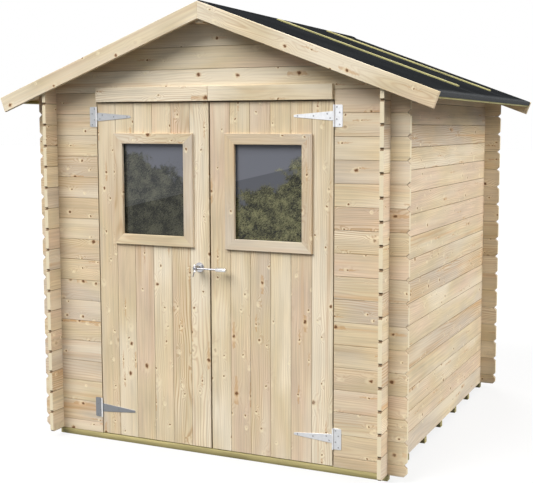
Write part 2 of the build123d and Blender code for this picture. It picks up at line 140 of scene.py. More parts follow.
class ShedColours(bpy.types.PropertyGroup):
    """Colours of the timber, felt, glass and metal, among them painted groove shade, a painted felt
    highlight, a painted pane reflection and painted latch shade.
    """

    pale_wood: colour("Pale wood", "Lightest spruce boards", (0.87, 0.77, 0.60))
    straw_wood: colour("Straw wood", "Yellow spruce boards", (0.72, 0.60, 0.40))
    honey_wood: colour("Honey wood", "Warm spruce boards", (0.68, 0.54, 0.36))
    grey_wood: colour("Grey wood", "Cool spruce boards", (0.66, 0.57, 0.46))
    rosy_wood: colour("Rosy wood", "Boards with more heartwood", (0.73, 0.575, 0.43))
    late_wood: colour("Late wood", "Dark part of the growth rings", (0.45, 0.26, 0.12))
    end_wood: colour("End wood", "Sawn end of a board", (0.85, 0.75, 0.54))
    knot: colour("Knot", "Heart of a knot", (0.16, 0.07, 0.03))
    knot_ring: colour("Knot ring", "Pale wood grown round a knot", (0.94, 0.83, 0.60))
    resin: colour("Resin", "Resin streaks and the rim of a knot", (0.58, 0.33, 0.14))
    # painted shade laid into the foot of each groove between boards, where shade falls
    painted_groove_shade: colour("Painted groove shade", "Painted shade at the foot of the groove between two boards", (0.20, 0.13, 0.07))
    joist_green: colour("Joist green", "Treated joists", (0.43, 0.37, 0.17))
    batten_green: colour("Batten green", "Treated battens", (0.45, 0.42, 0.187))
    felt: colour("Felt", "Bitumen felt", (0.0145, 0.0157, 0.0173))
    felt_chip: colour("Felt chip", "Light mineral chips on the felt", (0.039, 0.0415, 0.0435))
    # painted highlight along the felt's fold and lap edges
    felt_fold_highlight: colour("Felt fold highlight", "Painted highlight on the felt's fold and lap edges", (0.115, 0.12, 0.125))
    bright_zinc: colour("Bright zinc", "Newer plated steel", (0.80, 0.81, 0.83))
    dull_zinc: colour("Dull zinc", "Plated steel that has gone grey", (0.20, 0.21, 0.225))
    screw: colour("Screw", "Steel of the screw heads", (0.22, 0.22, 0.23))
    bright_metal: colour("Bright metal", "Polished parts of the latch", (0.70, 0.70, 0.71))
    # painted shade and dark reflection: the darker latch parts stand in for the shaded sides of polished
    # metal
    dark_latch_metal: colour("Dark latch metal", "Parts of the latch darkened by painted shade", (0.20, 0.20, 0.22))
    # painted reflection of sky and foliage in the panes
    reflected_sky: colour("Reflected sky", "Painted sky reflection in the upper part of a pane", (0.20, 0.21, 0.25))
    reflected_foliage_light: colour("Reflected foliage light", "Pale specks of painted foliage reflection in the lower part of a pane", (0.46, 0.45, 0.22))
    reflected_foliage_dark: colour("Reflected foliage dark", "Dark specks of painted foliage reflection in the lower part of a pane", (0.018, 0.020, 0.013))


class ShedLight(bpy.types.PropertyGroup):
    """Light and floor of the studio."""

    ambient: strength("Ambient", "Strength of the surrounding light", 0.36)
    key: strength("Key", "Strength of the soft lamp before the doors", 3.3)
    side: strength("Side", "Strength of the soft lamp beside the right wall", 2.8)
    fill: strength("Fill", "Strength of the soft lamp behind the left wall", 2.0)
    sky: colour("Sky", "Tint of the surrounding light", (0.88, 0.95, 1.0))
    sun: colour("Sun", "Tint of the lamps", (1.0, 0.98, 0.95))
    lamp_angle: FloatProperty(
        name="Lamp angle",
        description="Width of a lamp as seen from the object",
        default=math.radians(40),
        subtype="ANGLE",
    )
    floor_bounce: colour("Floor bounce", "Floor as it lights the object", (0.07, 0.07, 0.07))
    floor_shade: colour("Floor shade", "Share of the floor that takes the shadow", (0.15, 0.15, 0.15))
    floor_glow: strength("Floor glow", "Share of the floor that stays white", 0.8)
    floor_size: length("Floor size", "Half the width of the studio floor", 60.0)


class Term:
    """Stands for the value of one socket, so that sums of values are written plainly."""

    def __init__(self, graph, socket):
        self.graph = graph
        self.socket = socket

    def __add__(self, other):
        return self.graph.math("ADD", self, other)

    def __sub__(self, other):
        return self.graph.math("SUBTRACT", self, other)

    def __rsub__(self, other):
        return self.graph.math("SUBTRACT", other, self)

    def __mul__(self, other):
        return self.graph.math("MULTIPLY", self, other)

    def __truediv__(self, other):
        return self.graph.math("DIVIDE", self, other)

    def __pow__(self, other):
        return self.graph.math("POWER", self, other)


class Graph:
    """Adds and joins the nodes of one tree."""

    def __init__(self, tree):
        self.tree = tree
        tree.nodes.clear()

    def node(self, kind, inputs=None, **settings):
        """Adds a node, sets its properties and feeds its inputs by name or number."""
        made = self.tree.nodes.new(kind)
        for name, value in settings.items():
            setattr(made, name, value)
        for name, value in (inputs or {}).items():
            socket = made.inputs[name] if isinstance(name, int) else pick(made.inputs, name)
            if isinstance(value, Term):
                self.tree.links.new(value.socket, socket)
            elif socket.type == "RGBA":
                socket.default_value = (*value, 1.0)
            else:
                socket.default_value = value
        return made

    def out(self, kind, inputs=None, output=None, **settings):
        """Adds a node and gives one of its outputs, the first in use if none is named."""
        outputs = self.node(kind, inputs, **settings).outputs
        return Term(self, pick(outputs, output or next(item.name for item in outputs if item.enabled)))

    def split(self, value, kind="XYZ"):
        """Gives the three parts of a vector or a colour."""
        return [Term(self, item) for item in self.node(f"ShaderNodeSeparate{kind}", {0: value}).outputs]

    def math(self, operation, *values):
        """Gives the result of a Math node."""
        return self.out("ShaderNodeMath", dict(enumerate(values)), operation=operation)

    def vector(self, operation, *values):
        """Gives the vector of a Vector Math node."""
        return self.out("ShaderNodeVectorMath", dict(enumerate(values)), operation=operation)

    def scaled(self, value, factor):
        """Gives a colour times a factor."""
        return self.out("ShaderNodeVectorMath", {0: value, "Scale": factor}, operation="SCALE")

    def blend(self, factor, first, second):
        """Mixes two colours."""
        return self.out("ShaderNodeMix", {"Factor": factor, "A": first, "B": second}, data_type="RGBA")

    def step(self, value, low, high, start=0.0, end=1.0):
        """Gives a smooth step from start at low to end at high."""
        inputs = {"Value": value, "From Min": low, "From Max": high, "To Min": start, "To Max": end}
        return self.out("ShaderNodeMapRange", inputs, interpolation_type="SMOOTHSTEP")

    def noise(self, place, scale, detail=2.0, output="Fac", **more):
        """Gives a noise from 0 to 1, with one scale or one for each axis."""
        if isinstance(scale, tuple):
            place, scale = self.vector("MULTIPLY", place, scale), 1.0
        inputs = {"Vector": place, "Scale": scale, "Detail": detail, **more}
        return self.out("ShaderNodeTexNoise", inputs, output)

    def attribute(self, name, output="Fac"):
        """Gives an attribute of the mesh."""
        return self.out("ShaderNodeAttribute", output=output, attribute_name=name)

    def object_place(self):
        """Gives the place on the object."""
        return self.out("ShaderNodeTexCoord", output="Object")

    def seen(self, lit, shown):
        """Mixes what lights the object with what the camera, a gloss or glass shows."""
        path = self.node("ShaderNodeLightPath").outputs
        camera, gloss, glass = [
            Term(self, path[f"Is {kind} Ray"]) for kind in ("Camera", "Glossy", "Transmission")]
        share = self.math("MAXIMUM", self.math("MAXIMUM", camera, gloss), glass)
        return self.out("ShaderNodeMixShader", {0: share, 1: lit, 2: shown})


def pick(sockets, name):
    """Finds the socket of that name that is in use."""
    return next(socket for socket in sockets if socket.name == name and socket.enabled)


def material(name, paint, **values):
    """Gives the material of that name, painted on first use."""
    made = bpy.data.materials.get(name)
    if not made:
        made = bpy.data.materials.new(name)
        made.use_nodes = True
        graph = Graph(made.node_tree)
        graph.node("ShaderNodeOutputMaterial", {"Surface": paint(graph, **values)})
    return made


def sawn_timber(graph, tints, late_tint, knot_share, least_figure, blotch):
    """Paints planed softwood: rings, fibre, streaks and knots that follow each board's own grain, with
    painted shade at the foot of each groove between boards.
    """
    colours = bpy.context.scene.shed_colours
    place = graph.attribute("grain", "Vector")
    tone, warmth, figure = graph.split(graph.attribute("lot", "Vector"))
    sawn_end = graph.attribute("sawn_end")
    knots = knot_field(graph, place, graph.step(figure, 0.0, 0.8, 0.45, 1.0) * knot_share)
    warp = graph.noise(place, (1.3, 6.0, 6.0)) - 0.5
    drift = graph.noise(place, (1.4, 4.0, 4.0)) - 0.5
    streak = graph.noise(place, (0.8, 30.0, 30.0), 3.0)
    line = graph.noise(place, (2.5, 90.0, 90.0), 3.0)
    fibre = graph.noise(place, (9.0, 330.0, 330.0))
    cloud = graph.noise(place, (4.0, 11.0, 11.0), 3.0)
    bloom = graph.noise(place, (1.1, 9.0, 9.0))

    _, across, through = graph.split(place)
    heart = graph.math("SQRT", across * across + through * through)
    radius = heart + warp * 0.10 + knots["swirl"] * 0.02
    ring_width = warmth * 0.006 + 0.0075
    late = (graph.math("SINE", radius / ring_width * math.tau) * 0.5 + 0.5) ** 2.0

    tint = graph.out("ShaderNodeValToRGB", {"Fac": drift * 1.1 + tone}, "Color")
    stops = tint.socket.node.color_ramp.elements
    for index, shade in enumerate(tints):
        stop = stops[index] if index < 2 else stops.new(1.0)
        stop.position = index / (len(tints) - 1)
        stop.color = (*shade, 1.0)
    bold = figure ** 2.0 * 0.66 + least_figure
    tint = graph.blend(late * bold * graph.step(cloud, 0.3, 0.7, 0.35, 1.0), tint, late_tint)
    resin_share = graph.step(streak, 0.53, 0.76) * graph.step(warmth, 0.3, 1.0, 0.08, 0.62)
    tint = graph.blend(resin_share, tint, colours.resin)
    tint = graph.scaled(tint, cloud * blotch + (0.70 - blotch / 2) + line * 0.46 + fibre * 0.16)
    layers = (
        (graph.step(bloom, 0.5, 0.75, 0.0, 0.6), tints[-1]),
        (knots["tail"] * 0.55, colours.resin),
        (knots["ring"] * 0.65, colours.knot_ring),
        (knots["rim"] * 0.55, colours.resin),
        (knots["core"], colours.knot),
        (sawn_end * 0.8, colours.end_wood),
        # painted shade at the foot of the grooves, weaker on the sawn ends
        (graph.attribute("crevice") * graph.step(sawn_end, 0.0, 1.0, 0.55, 0.0), colours.painted_groove_shade),
    )
    for share, shade in layers:
        tint = graph.blend(share, tint, shade)
    relief = {"Strength": 0.3, "Distance": 0.0006, "Height": late * 0.5 + fibre * 0.6}
    return graph.out("ShaderNodeBsdfPrincipled", {
        "Base Color": tint,
        "Roughness": fibre * 0.2 + 0.52,
        "Normal": graph.out("ShaderNodeBump", relief),
        "Specular IOR Level": 0.2,
    })


def knot_field(graph, place, share):
    """Scatters knots over a board and gives masks of their cores, rims, pale wood, tails and bent grain."""
    cell = (0.10, 0.095, 1.0)
    wobble_reach = (0.012, 0.012, 0.0)
    small, extra = 0.0038, 0.0065
    wobble = graph.vector("SUBTRACT", graph.noise(place, 70.0, 1.0, "Color"), (0.5, 0.5, 0.5))
    bent = graph.vector("ADD", place, graph.vector("MULTIPLY", wobble, wobble_reach))
    spots = graph.vector("DIVIDE", bent, cell)
    cells = graph.node("ShaderNodeTexVoronoi", {"Vector": spots, "Scale": 1.0}, voronoi_dimensions="2D")
    middle, lot = [Term(graph, cells.outputs[name]) for name in ("Position", "Color")]
    rank, bulk, shade = graph.split(lot, "Color")
    chosen = graph.math("LESS_THAN", rank, share)
    away = graph.vector("MULTIPLY", graph.vector("SUBTRACT", spots, middle), cell)
    large = bulk ** 4.0
    along, across, _ = [side / (large * extra + small) for side in graph.split(away)]

    def reach(along_share, along_shift, start, end):
        """Fades from a knot's middle, by its distance in radii with the grain's direction stretched."""
        run = (along + along_shift) * along_share
        return graph.step(graph.math("SQRT", run * run + across * across), start, end, 1.0, 0.0)

    dark = chosen * graph.step(shade, 0.18, 0.4, 0.1, 0.95)
    return {
        "core": reach(0.85, 0.0, 0.5, 1.05) * dark,
        "rim": reach(0.85, 0.0, 0.9, 1.6) * dark,
        "ring": reach(0.7, 0.9, 1.1, 2.5) * (chosen * (1.0 - large * 0.6)),
        "swirl": reach(0.5, 0.0, 0.6, 5.0) * chosen,
        "tail": reach(0.075, 2.0, 0.5, 1.4) * (chosen * graph.step(shade, 0.72, 0.8)),
    }


def spruce():
    """Planed spruce of the walls, doors and trim."""
    colours = bpy.context.scene.shed_colours
    names = ("honey_wood", "grey_wood", "straw_wood", "rosy_wood", "straw_wood", "pale_wood")
    return material(
        "Planed spruce",
        sawn_timber,
        tints=[getattr(colours, name) for name in names],
        late_tint=colours.late_wood,
        knot_share=0.8,
        least_figure=0.18,
        blotch=0.5,
    )


def treated(name, tint):
    """Timber with a green preservative."""
    shaded = [channel * 0.6 for channel in tint]
    return material(
        name,
        sawn_timber,
        tints=(shaded, tint, tint),
        late_tint=shaded,
        knot_share=0.1,
        least_figure=0.4,
        blotch=1.2,
    )


def joist_timber():
    """Green treated timber of the joists."""
    return treated("Treated joist", bpy.context.scene.shed_colours.joist_green)


def batten_timber():
    """Pale green treated timber of the battens."""
    return treated("Treated batten", bpy.context.scene.shed_colours.batten_green)


def bitumen_felt(graph):
    """Paints matt bitumen felt with fine mineral chips, and a painted highlight along its fold and lap
    edges.
    """
    colours = bpy.context.scene.shed_colours
    place = graph.object_place()
    chips = graph.noise(place, 420.0, 1.0)
    patches = graph.noise(place, 3.5, 4.0)
    chip_share = graph.step(chips, 0.5, 0.72) * graph.step(patches, 0.25, 0.8, 0.25, 0.8)
    tint = graph.blend(chip_share, colours.felt, colours.felt_chip)
    tint = graph.scaled(tint, graph.step(patches, 0.3, 0.7, 0.9, 1.1))
    # painted highlight on the fold and lap edges, broken up by the chips
    painted_highlight = graph.attribute("crevice") * graph.step(chips, 0.3, 0.7, 0.45, 1.0)
    relief = {"Strength": 0.5, "Distance": 0.0008, "Height": chips}
    return graph.out("ShaderNodeBsdfPrincipled", {
        "Base Color": graph.blend(painted_highlight, tint, colours.felt_fold_highlight),
        "Roughness": patches * 0.1 + 0.88,
        "Normal": graph.out("ShaderNodeBump", relief),
        "Specular IOR Level": 0.0,
    })


def plated_metal(graph, dull, bright, rough):
    """Paints plated metal, duller or brighter from piece to piece, with slightly uneven polish."""
    tone = graph.split(graph.attribute("lot", "Vector"))[0]
    bloom = graph.noise(graph.object_place(), 90.0, 3.0)
    return graph.out("ShaderNodeBsdfPrincipled", {
        "Base Color": graph.blend(tone * graph.step(bloom, 0.3, 0.7, 0.88, 1.0), dull, bright),
        "Roughness": bloom * 0.12 + rough,
        "Metallic": 1.0,
    })


def zinc():
    """Zinc-plated steel of the hinges and nails."""
    colours = bpy.context.scene.shed_colours
    return material(
        "Zinc plate", plated_metal, dull=colours.dull_zinc, bright=colours.bright_zinc, rough=0.28)


def screw_steel():
    """Darker steel of the screw heads."""
    colours = bpy.context.scene.shed_colours
    return material("Screw steel", plated_metal, dull=colours.screw, bright=colours.dull_zinc, rough=0.35)


def latch_metal():
    """Metal of the latch, from bright to dark, the hub and arm darkened as painted shade and dark
    reflection.
    """
    colours = bpy.context.scene.shed_colours
    return material(
        "Latch metal", plated_metal, dull=colours.dark_latch_metal, bright=colours.bright_metal, rough=0.18)


def glass_with_painted_reflection(graph):
    """Paints window glass before a dark room, with a painted reflection on it: sky above, mottled foliage
    below and a darker band under a diagonal line.
    """
    colours = bpy.context.scene.shed_colours
    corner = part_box("right_window_glass")[0]
    place = graph.object_place()
    x, _, z = graph.split(place)
    right = graph.step(x, -0.05, 0.05)
    # painted reflection: ragged line between reflected sky above and reflected foliage below
    ragged = graph.noise(place, 8.0, 9.0, Roughness=0.68)
    masses = graph.noise(place, 17.0, 4.0)
    tilted = graph.out("ShaderNodeVectorRotate", {"Vector": place, "Angle": 0.6}, rotation_type="Y_AXIS")
    specks = graph.noise(tilted, (105.0, 105.0, 230.0), 6.0, Roughness=0.72, Distortion=1.2)
    outward = graph.math("ABSOLUTE", x) - corner.x
    edge = outward * 0.5 + corner.z + ragged * 0.54 + right * -0.09
    lively = masses * 0.55 + (specks - 0.275)
    foliage_light_share = graph.step(lively, 0.39, 0.66) * graph.step(right, 0.0, 1.0, 0.48, 1.0)
    pale = graph.blend(graph.step(right, 0.0, 1.0, 0.55, 1.0), colours.reflected_sky, colours.reflected_foliage_light)
    lower = graph.blend(foliage_light_share, colours.reflected_foliage_dark, pale)
    tint = graph.blend(graph.step(z - edge, -0.03, 0.03), lower, colours.reflected_sky)
    # painted reflection: a diagonal line, a little paler above and darker below
    reflection_slant = x * -0.23 + z
    slant_edge = (1.309, 1.311)
    tint = graph.blend(graph.step(reflection_slant, *slant_edge, 0.0, 0.16), tint, colours.reflected_sky)
    return graph.out("ShaderNodeBsdfPrincipled", {
        "Base Color": graph.scaled(tint, graph.step(reflection_slant, *slant_edge, 0.72, 1.12)),
        "Roughness": 0.03,
        "IOR": 1.5,
        "Specular IOR Level": 0.2,
        "Transmission Weight": 0.35,
    })


def pale_floor(graph):
    """Paints the studio floor, white to the camera where no shadow falls."""
    light = bpy.context.scene.shed_light
    lit = graph.out("ShaderNodeBsdfDiffuse", {"Color": light.floor_bounce})
    soft = graph.out("ShaderNodeBsdfDiffuse", {"Color": light.floor_shade})
    glow = graph.out("ShaderNodeEmission", {"Color": WHITE, "Strength": light.floor_glow})
    return graph.seen(lit, graph.out("ShaderNodeAddShader", {0: soft, 1: glow}))


def basis(origin, along, across, through):
    """Gives the placement of a piece from its own axes."""
    turn = Matrix((along, across, through)).transposed().to_4x4()
    return Matrix.Translation(origin) @ turn


def inset(outline, amount):
    """Moves the edges of a convex outline inwards."""
    spots = [Vector(spot) for spot in outline]
    area = sum(before.cross(spot) for before, spot in zip(spots[-1:] + spots, spots))
    inwards = amount if area > 0 else -amount
    lines = []
    for start, end in zip(spots, spots[1:] + spots[:1]):
        edge = (end - start).normalized()
        lines.append((start + inwards * Vector((-edge.y, edge.x)), edge))
    moved = []
    for (first, heading), (second, other) in zip(lines[-1:] + lines, lines):
        moved.append(first + heading * ((second - first).cross(other) / heading.cross(other)))
    return moved


def board_ring(spot, thickness, lean=0.0):
    """Gives the section of a bevelled board at one station, its upper edge leaning up at the back."""
    along, low, high, low_groove, high_groove = spot
    top = high + lean
    return [
        (along, low + low_groove, 0.0),
        (along, high - high_groove, 0.0),
        (along, high, high_groove),
        (along, top, thickness - high_groove),
        (along, top - high_groove, thickness),
        (along, low + low_groove, thickness),
        (along, low, thickness - low_groove),
        (along, low, low_groove),
    ]


class Stock:
    """Gathers pieces of timber or metal into one mesh, each with its own grain, tone, warmth and figure."""

    def __init__(self, seed, tones=(0.0, 1.0), joint=1.0):
        self.draw = random.Random(seed)
        self.tones = tones
        # share of painted shade at the foot of each bevel; joint sets how strong it is
        self.painted_light_shares = (0.0, 0.0, joint, joint, 0.0, 0.0, joint, joint)
        self.points = []
        self.faces = []
        self.values = {"grain": [], "lot": [], "crevice": [], "sawn_end": []}

    def loft(self, rings, place, painted_light_shares=None, sawn_end=0.0):
        """Skins a closed form through rings of points given along, across and through the piece."""
        first = len(self.points)
        size = len(rings[0])
        draw = self.draw
        shift = Vector((draw.uniform(0, 40), draw.uniform(-0.16, 0.05), draw.uniform(0.01, 0.09)))
        lot = (draw.uniform(*self.tones), draw.random(), draw.random())
        for row, ring in enumerate(rings):
            for index, spot in enumerate(ring):
                local = Vector(spot)
                self.points.append(place @ local)
                self.values["grain"].extend(local + shift)
                self.values["lot"].extend(lot)
                # share of painted light at each point: groove shade on boards, fold highlight on the felt
                self.values["crevice"].append(painted_light_shares[row][index] if painted_light_shares else 0.0)
        for start in range(first, first + size * (len(rings) - 1), size):
            for index in range(size):
                after = (index + 1) % size
                self.faces.append((start + index, start + after, start + size + after, start + size + index))
        last = len(self.points) - size
        self.faces.append(tuple(range(first, first + size)))
        self.faces.append(tuple(range(last, last + size)))
        self.values["sawn_end"] += [0.0] * (size * (len(rings) - 1)) + [sawn_end] * 2

    def board(self, stations, thickness, place, lean=0.0):
        """Adds a bevelled board that runs through its stations."""
        rings = [board_ring(spot, thickness, lean) for spot in stations]
        self.loft(rings, place, [self.painted_light_shares] * len(rings), sawn_end=1.0)

    def plank(self, outline, depth, place, edge, grain_along_depth=False):
        """Adds a piece with eased edges, its outline given along and across or across and through."""
        small = inset(outline, edge)
        levels = ((small, 0.0), (outline, edge), (outline, depth - edge), (small, depth))
        if grain_along_depth:
            rings = [[(level, *spot) for spot in shape] for shape, level in levels]
        else:
            rings = [[(*spot, level) for spot in shape] for shape, level in levels]
        self.loft(rings, place)

    def bar(self, size, place, edge):
        """Adds a straight timber of the given length, width and depth."""
        long, wide, deep = size
        self.plank([(0.0, 0.0), (long, 0.0), (long, wide), (0.0, wide)], deep, place, edge)

    def beam(self, low, high, edge):
        """Adds a timber that fills a box, with its grain from left to right."""
        size = high - low
        self.bar((size.x, size.z, size.y), basis(low, X_AXIS, Z_AXIS, Y_AXIS), edge)

    def turned(self, profile, place, sides):
        """Adds a turned form from pairs of place along its axis and radius."""
        turns = [math.tau * index / sides for index in range(sides)]
        rings = [[(along, r * math.cos(a), r * math.sin(a)) for a in turns] for along, r in profile]
        self.loft(rings, place)

    def mesh(self, name, finish, smooth_angle=None):
        """Makes the plain mesh."""
        made = bpy.data.meshes.new(name)
        made.from_pydata(self.points, [], self.faces)
        for attribute, values in self.values.items():
            domain = "FACE" if attribute == "sawn_end" else "POINT"
            kind, field = ("FLOAT_VECTOR", "vector") if attribute in ("grain", "lot") else ("FLOAT", "value")
            made.attributes.new(attribute, kind, domain).data.foreach_set(field, values)
        work = bmesh.new()
        work.from_mesh(made)
        bmesh.ops.remove_doubles(work, verts=work.verts, dist=MERGE)
        bmesh.ops.dissolve_degenerate(work, edges=work.edges, dist=MERGE)
        bmesh.ops.recalc_face_normals(work, faces=work.faces)
        work.to_mesh(made)
        work.free()
        made.materials.append(finish)
        if smooth_angle:
            made.shade_smooth()
            made.set_sharp_from_angle(angle=smooth_angle)
        return made

    def piece(self, name, finish, slot, node, body="shell", smooth_angle=None):
        """Makes the mesh and sets it in place of the plain node that it stands for."""
        set_piece(name, self.mesh(name, finish, smooth_angle), body, slot, node)


def set_piece(name, mesh, body, slot, *nodes):
    """Puts a finished mesh on its body, in place of the plain nodes that it stands for."""
    piece = bpy.data.objects.new(name, mesh)
    bpy.context.scene.collection.objects.link(piece)
    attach(piece, body)
    if nodes:
        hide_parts(*nodes)


def roof_slope():
    """Gives the height of the ridge under the roof boards and the pitch of the roof."""
    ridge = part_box("ridge_purlin")[1].z
    low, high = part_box("right_wall")
    return ridge, math.atan2(ridge - high.z, low.x)


def slope_basis(side, across_y):
    """Gives a placement whose axes run down one slope, along the ridge or off the slope, and the third."""
    ridge, pitch = roof_slope()
    down = Vector((side * math.cos(pitch), 0.0, -math.sin(pitch)))
    off = Vector((side * math.sin(pitch), 0.0, math.cos(pitch)))
    origin = Vector((0.0, 0.0, ridge))
    return basis(origin, down, Y_AXIS, off) if across_y else basis(origin, down, off, Y_AXIS)


def courses(base, first, pitch, top):
    """Lists the low and high edges of the boards from the base to the top."""
    edges = [base]
    joint = first
    while joint < top - MERGE:
        edges.append(joint)
        joint += pitch
    edges.append(top)
    return list(zip(edges, edges[1:]))


def notched_run(low, high, span, notches, crossings, laps, grooves):
    """Gives the stations of a wall board with cut corners at its free ends and laps at its crossings."""
    start, end = span
    cut_start, cut_end = notches
    spots = []
    if cut_start:
        spots.append((start, low + cut_start, high - cut_start))
    spots.append((start + cut_start, low, high))
    for near, far in crossings:
        neck = (low + laps[0], high - laps[1])
        spots += [(near, low, high), (near, *neck), (far, *neck), (far, low, high)]
    spots.append((end - cut_end, low, high))
    if cut_end:
        spots.append((end, low + cut_end, high - cut_end))
    return [Station(*spot, *grooves) for spot in spots]


def cross_basis(low, high, side):
    """Gives the thickness of a front or back wall and the placement of its boards."""
    face = max(abs(low.y), abs(high.y))
    return high.y - low.y, basis(side * face * Y_AXIS, X_AXIS, Z_AXIS, -side * Y_AXIS)


class SHED_OT_walls(bpy.types.Operator):
    """Boards the four walls and both gables"""

    bl_idname = "shed.walls"
    bl_label = "Walls"

    def execute(self, context):
        sizes = context.scene.shed_sizes
        for index, (name, side) in enumerate(SIDES):
            self.side_wall(sizes, f"{name}_wall", side, seed=11 + index)
        self.cross_wall(sizes, "back_wall", 1, seed=21, tones=(0.8, 1.0))
        self.cross_wall(sizes, "front_wall_left", -1, seed=22, tones=(0.0, 0.55))
        self.cross_wall(sizes, "front_wall_right", -1, seed=23, tones=(0.1, 0.8))
        self.gable(sizes, "front_gable", -1, seed=34)
        self.gable(sizes, "back_gable", 1, seed=32)
        return {"FINISHED"}

    def side_wall(self, sizes, node, side, seed):
        """Makes the boards that run from front to back on one side."""
        low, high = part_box(node)
        thickness = high.x - low.x
        face = high.x if side > 0 else -low.x
        ridge, pitch = roof_slope()
        rise = math.tan(pitch)
        # joint=1.75 makes the painted groove shade stronger on the side walls
        stock = Stock(seed, tones=(0.1, 0.95), joint=1.75)
        place = basis(side * face * X_AXIS, Y_AXIS, Z_AXIS, -side * X_AXIS)
        crossings = [[corner.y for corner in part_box(gable)] for gable in ("front_gable", "back_gable")]
        laps = (sizes.board_pitch / 4,) * 2
        notches = (sizes.side_notch,) * 2
        half = sizes.board_gap / 2
        span = (low.y, high.y)
        rows = courses(low.z, low.z + sizes.board_pitch, sizes.board_pitch, ridge - face * rise)
        for foot, head in rows:
            last = (foot, head) == rows[-1]
            grooves = (sizes.wall_groove, sizes.eased_edge if last else sizes.wall_groove)
            run = notched_run(foot + half, head - half, span, notches, crossings, laps, grooves)
            stock.board(run, thickness, place, lean=thickness * rise if last else 0.0)
        stock.piece(f"{node}_boards", spruce(), "wall_board", node)

    def cross_wall(self, sizes, node, side, seed, tones):
        """Makes the boards of a front or back wall below the gable."""
        low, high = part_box(node)
        thickness, place = cross_basis(low, high, side)
        stock = Stock(seed, tones)
        walls = [[corner.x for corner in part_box(f"{name}_wall")] for name, _ in SIDES]
        crossings = [wall for wall in walls if low.x < wall[0] and wall[1] < high.x]
        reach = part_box("back_wall")[1].x
        span = (low.x, high.x)
        notches = [sizes.end_notch if abs(end) > reach - MERGE else 0.0 for end in span]
        grooves = (sizes.wall_groove,) * 2
        lap = sizes.board_pitch / 4
        half = sizes.board_gap / 2
        for foot, head in courses(low.z, low.z + sizes.board_pitch / 2, sizes.board_pitch, high.z):
            on_ground = head - foot < sizes.board_pitch - MERGE
            laps = (0.0 if on_ground else lap, lap)
            run = notched_run(foot + half, head - half, span, notches, crossings, laps, grooves)
            stock.board(run, thickness, place)
        stock.piece(f"{node}_boards", spruce(), "wall_board", node)

    def gable(self, sizes, node, side, seed):
        """Makes the boards of a gable, cut along the slopes and round the ridge purlin."""
        low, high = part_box(node)
        thickness, place = cross_basis(low, high, side)
        stock = Stock(seed, tones=(0.75, 1.0))
        ridge, pitch = roof_slope()
        slope = math.tan(pitch)
        half_gap = sizes.board_gap / 2
        for foot, head in courses(low.z, low.z + sizes.board_pitch, sizes.board_pitch, ridge):
            foot += half_gap
            head -= half_gap
            reach = min(high.x, (ridge - foot) / slope)
            half = self.half_board(sizes, foot, head, reach, lambda x: ridge - x * slope)
            mirrored = [(-x, *edges) for x, *edges in reversed(half)]
            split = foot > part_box("ridge_purlin")[0].z
            for run in [half, mirrored] if split else [mirrored + half]:
                stock.board([self.station(sizes, *spot) for spot in run], thickness, place)
        stock.piece(f"{node}_boards", spruce(), "wall_board", node)

    def station(self, sizes, along, foot, head):
        """Keeps the bevels within the board where the slope cuts it thin."""
        groove = min(sizes.wall_groove, (head - foot) / 3)
        return Station(along, foot, head, groove, groove)

    def half_board(self, sizes, foot, head, reach, slope_at):
        """Lists half a gable board's places, from the middle out to its end under the slope."""
        purlin_low, purlin_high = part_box("ridge_purlin")
        beam = purlin_high.x
        near, far = [corner.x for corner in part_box("right_wall")]
        spots = []
        if foot < purlin_low.z:
            middle = min(head, purlin_low.z)
            spots += [(MERGE, foot, middle), (beam, foot, middle)]
        full = (slope_at(0.0) - head) / (slope_at(0.0) - slope_at(1.0))
        spots.append((beam, foot, min(head, slope_at(beam))))
        if full > beam:
            spots.append((full, foot, head))
        if reach > far:
            lap = foot + sizes.board_pitch / 4
            notch = reach - sizes.end_notch
            edges = (
                (near, foot),
                (near, lap),
                (far, lap),
                (far, foot),
                (notch, foot),
                (reach, foot + sizes.end_notch),
            )
            spots += [(x, edge, slope_at(x)) for x, edge in edges]
        else:
            spots.append((reach - MERGE, foot, foot + sizes.board_gap))
        return spots


class SHED_OT_doorway(bpy.types.Operator):
    """Makes the lintel boards, the jambs and the head rail"""

    bl_idname = "shed.doorway"
    bl_label = "Doorway"

    def execute(self, context):
        sizes = context.scene.shed_sizes
        for index, (name, side) in enumerate(SIDES):
            stock = Stock(41 + 3 * index, tones=(0.8, 1.0))
            stock.beam(*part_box(f"lintel_{name}"), sizes.eased_edge)
            stock.piece(f"lintel_{name}_board", spruce(), "trim_board", f"lintel_{name}")
            self.jamb(sizes, f"jamb_{name}", side, seed=45 + index)
        stock = Stock(49)
        stock.beam(*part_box("door_head_rail"), sizes.eased_edge)
        stock.piece("door_head_rail_beam", spruce(), "trim_board", "door_head_rail")
        return {"FINISHED"}

    def jamb(self, sizes, node, side, seed):
        """Makes a jamb post with the stop that a leaf closes against."""
        low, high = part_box(node)
        inner, outer = sorted((abs(low.x), abs(high.x)))
        front, back = -low.y, -high.y
        step = abs(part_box("left_door_boards")[0].x) + sizes.stop_gap
        stop = front - sizes.stop_step
        outline = ((inner, back), (outer, back), (outer, front), (step, front), (step, stop), (inner, stop))
        stock = Stock(seed)
        place = basis(Vector(), Z_AXIS, side * X_AXIS, -Y_AXIS)
        stock.loft([[(z, *spot) for spot in outline] for z in (low.z, high.z)], place)
        stock.piece(f"{node}_post", spruce(), "trim_board", node)


def new_tree(name, inputs):
    """Starts a geometry tree with the given inputs and gives its graph and the inputs' terms."""
    tree = bpy.data.node_groups.new(name, "GeometryNodeTree")
    tree.interface.new_socket(name="Geometry", in_out="OUTPUT", socket_type="NodeSocketGeometry")
    for label, kind in inputs:
        tree.interface.new_socket(name=label, in_out="INPUT", socket_type=f"NodeSocket{kind}")
    graph = Graph(tree)
    return graph, {item.name: Term(graph, item) for item in graph.node("NodeGroupInput").outputs}


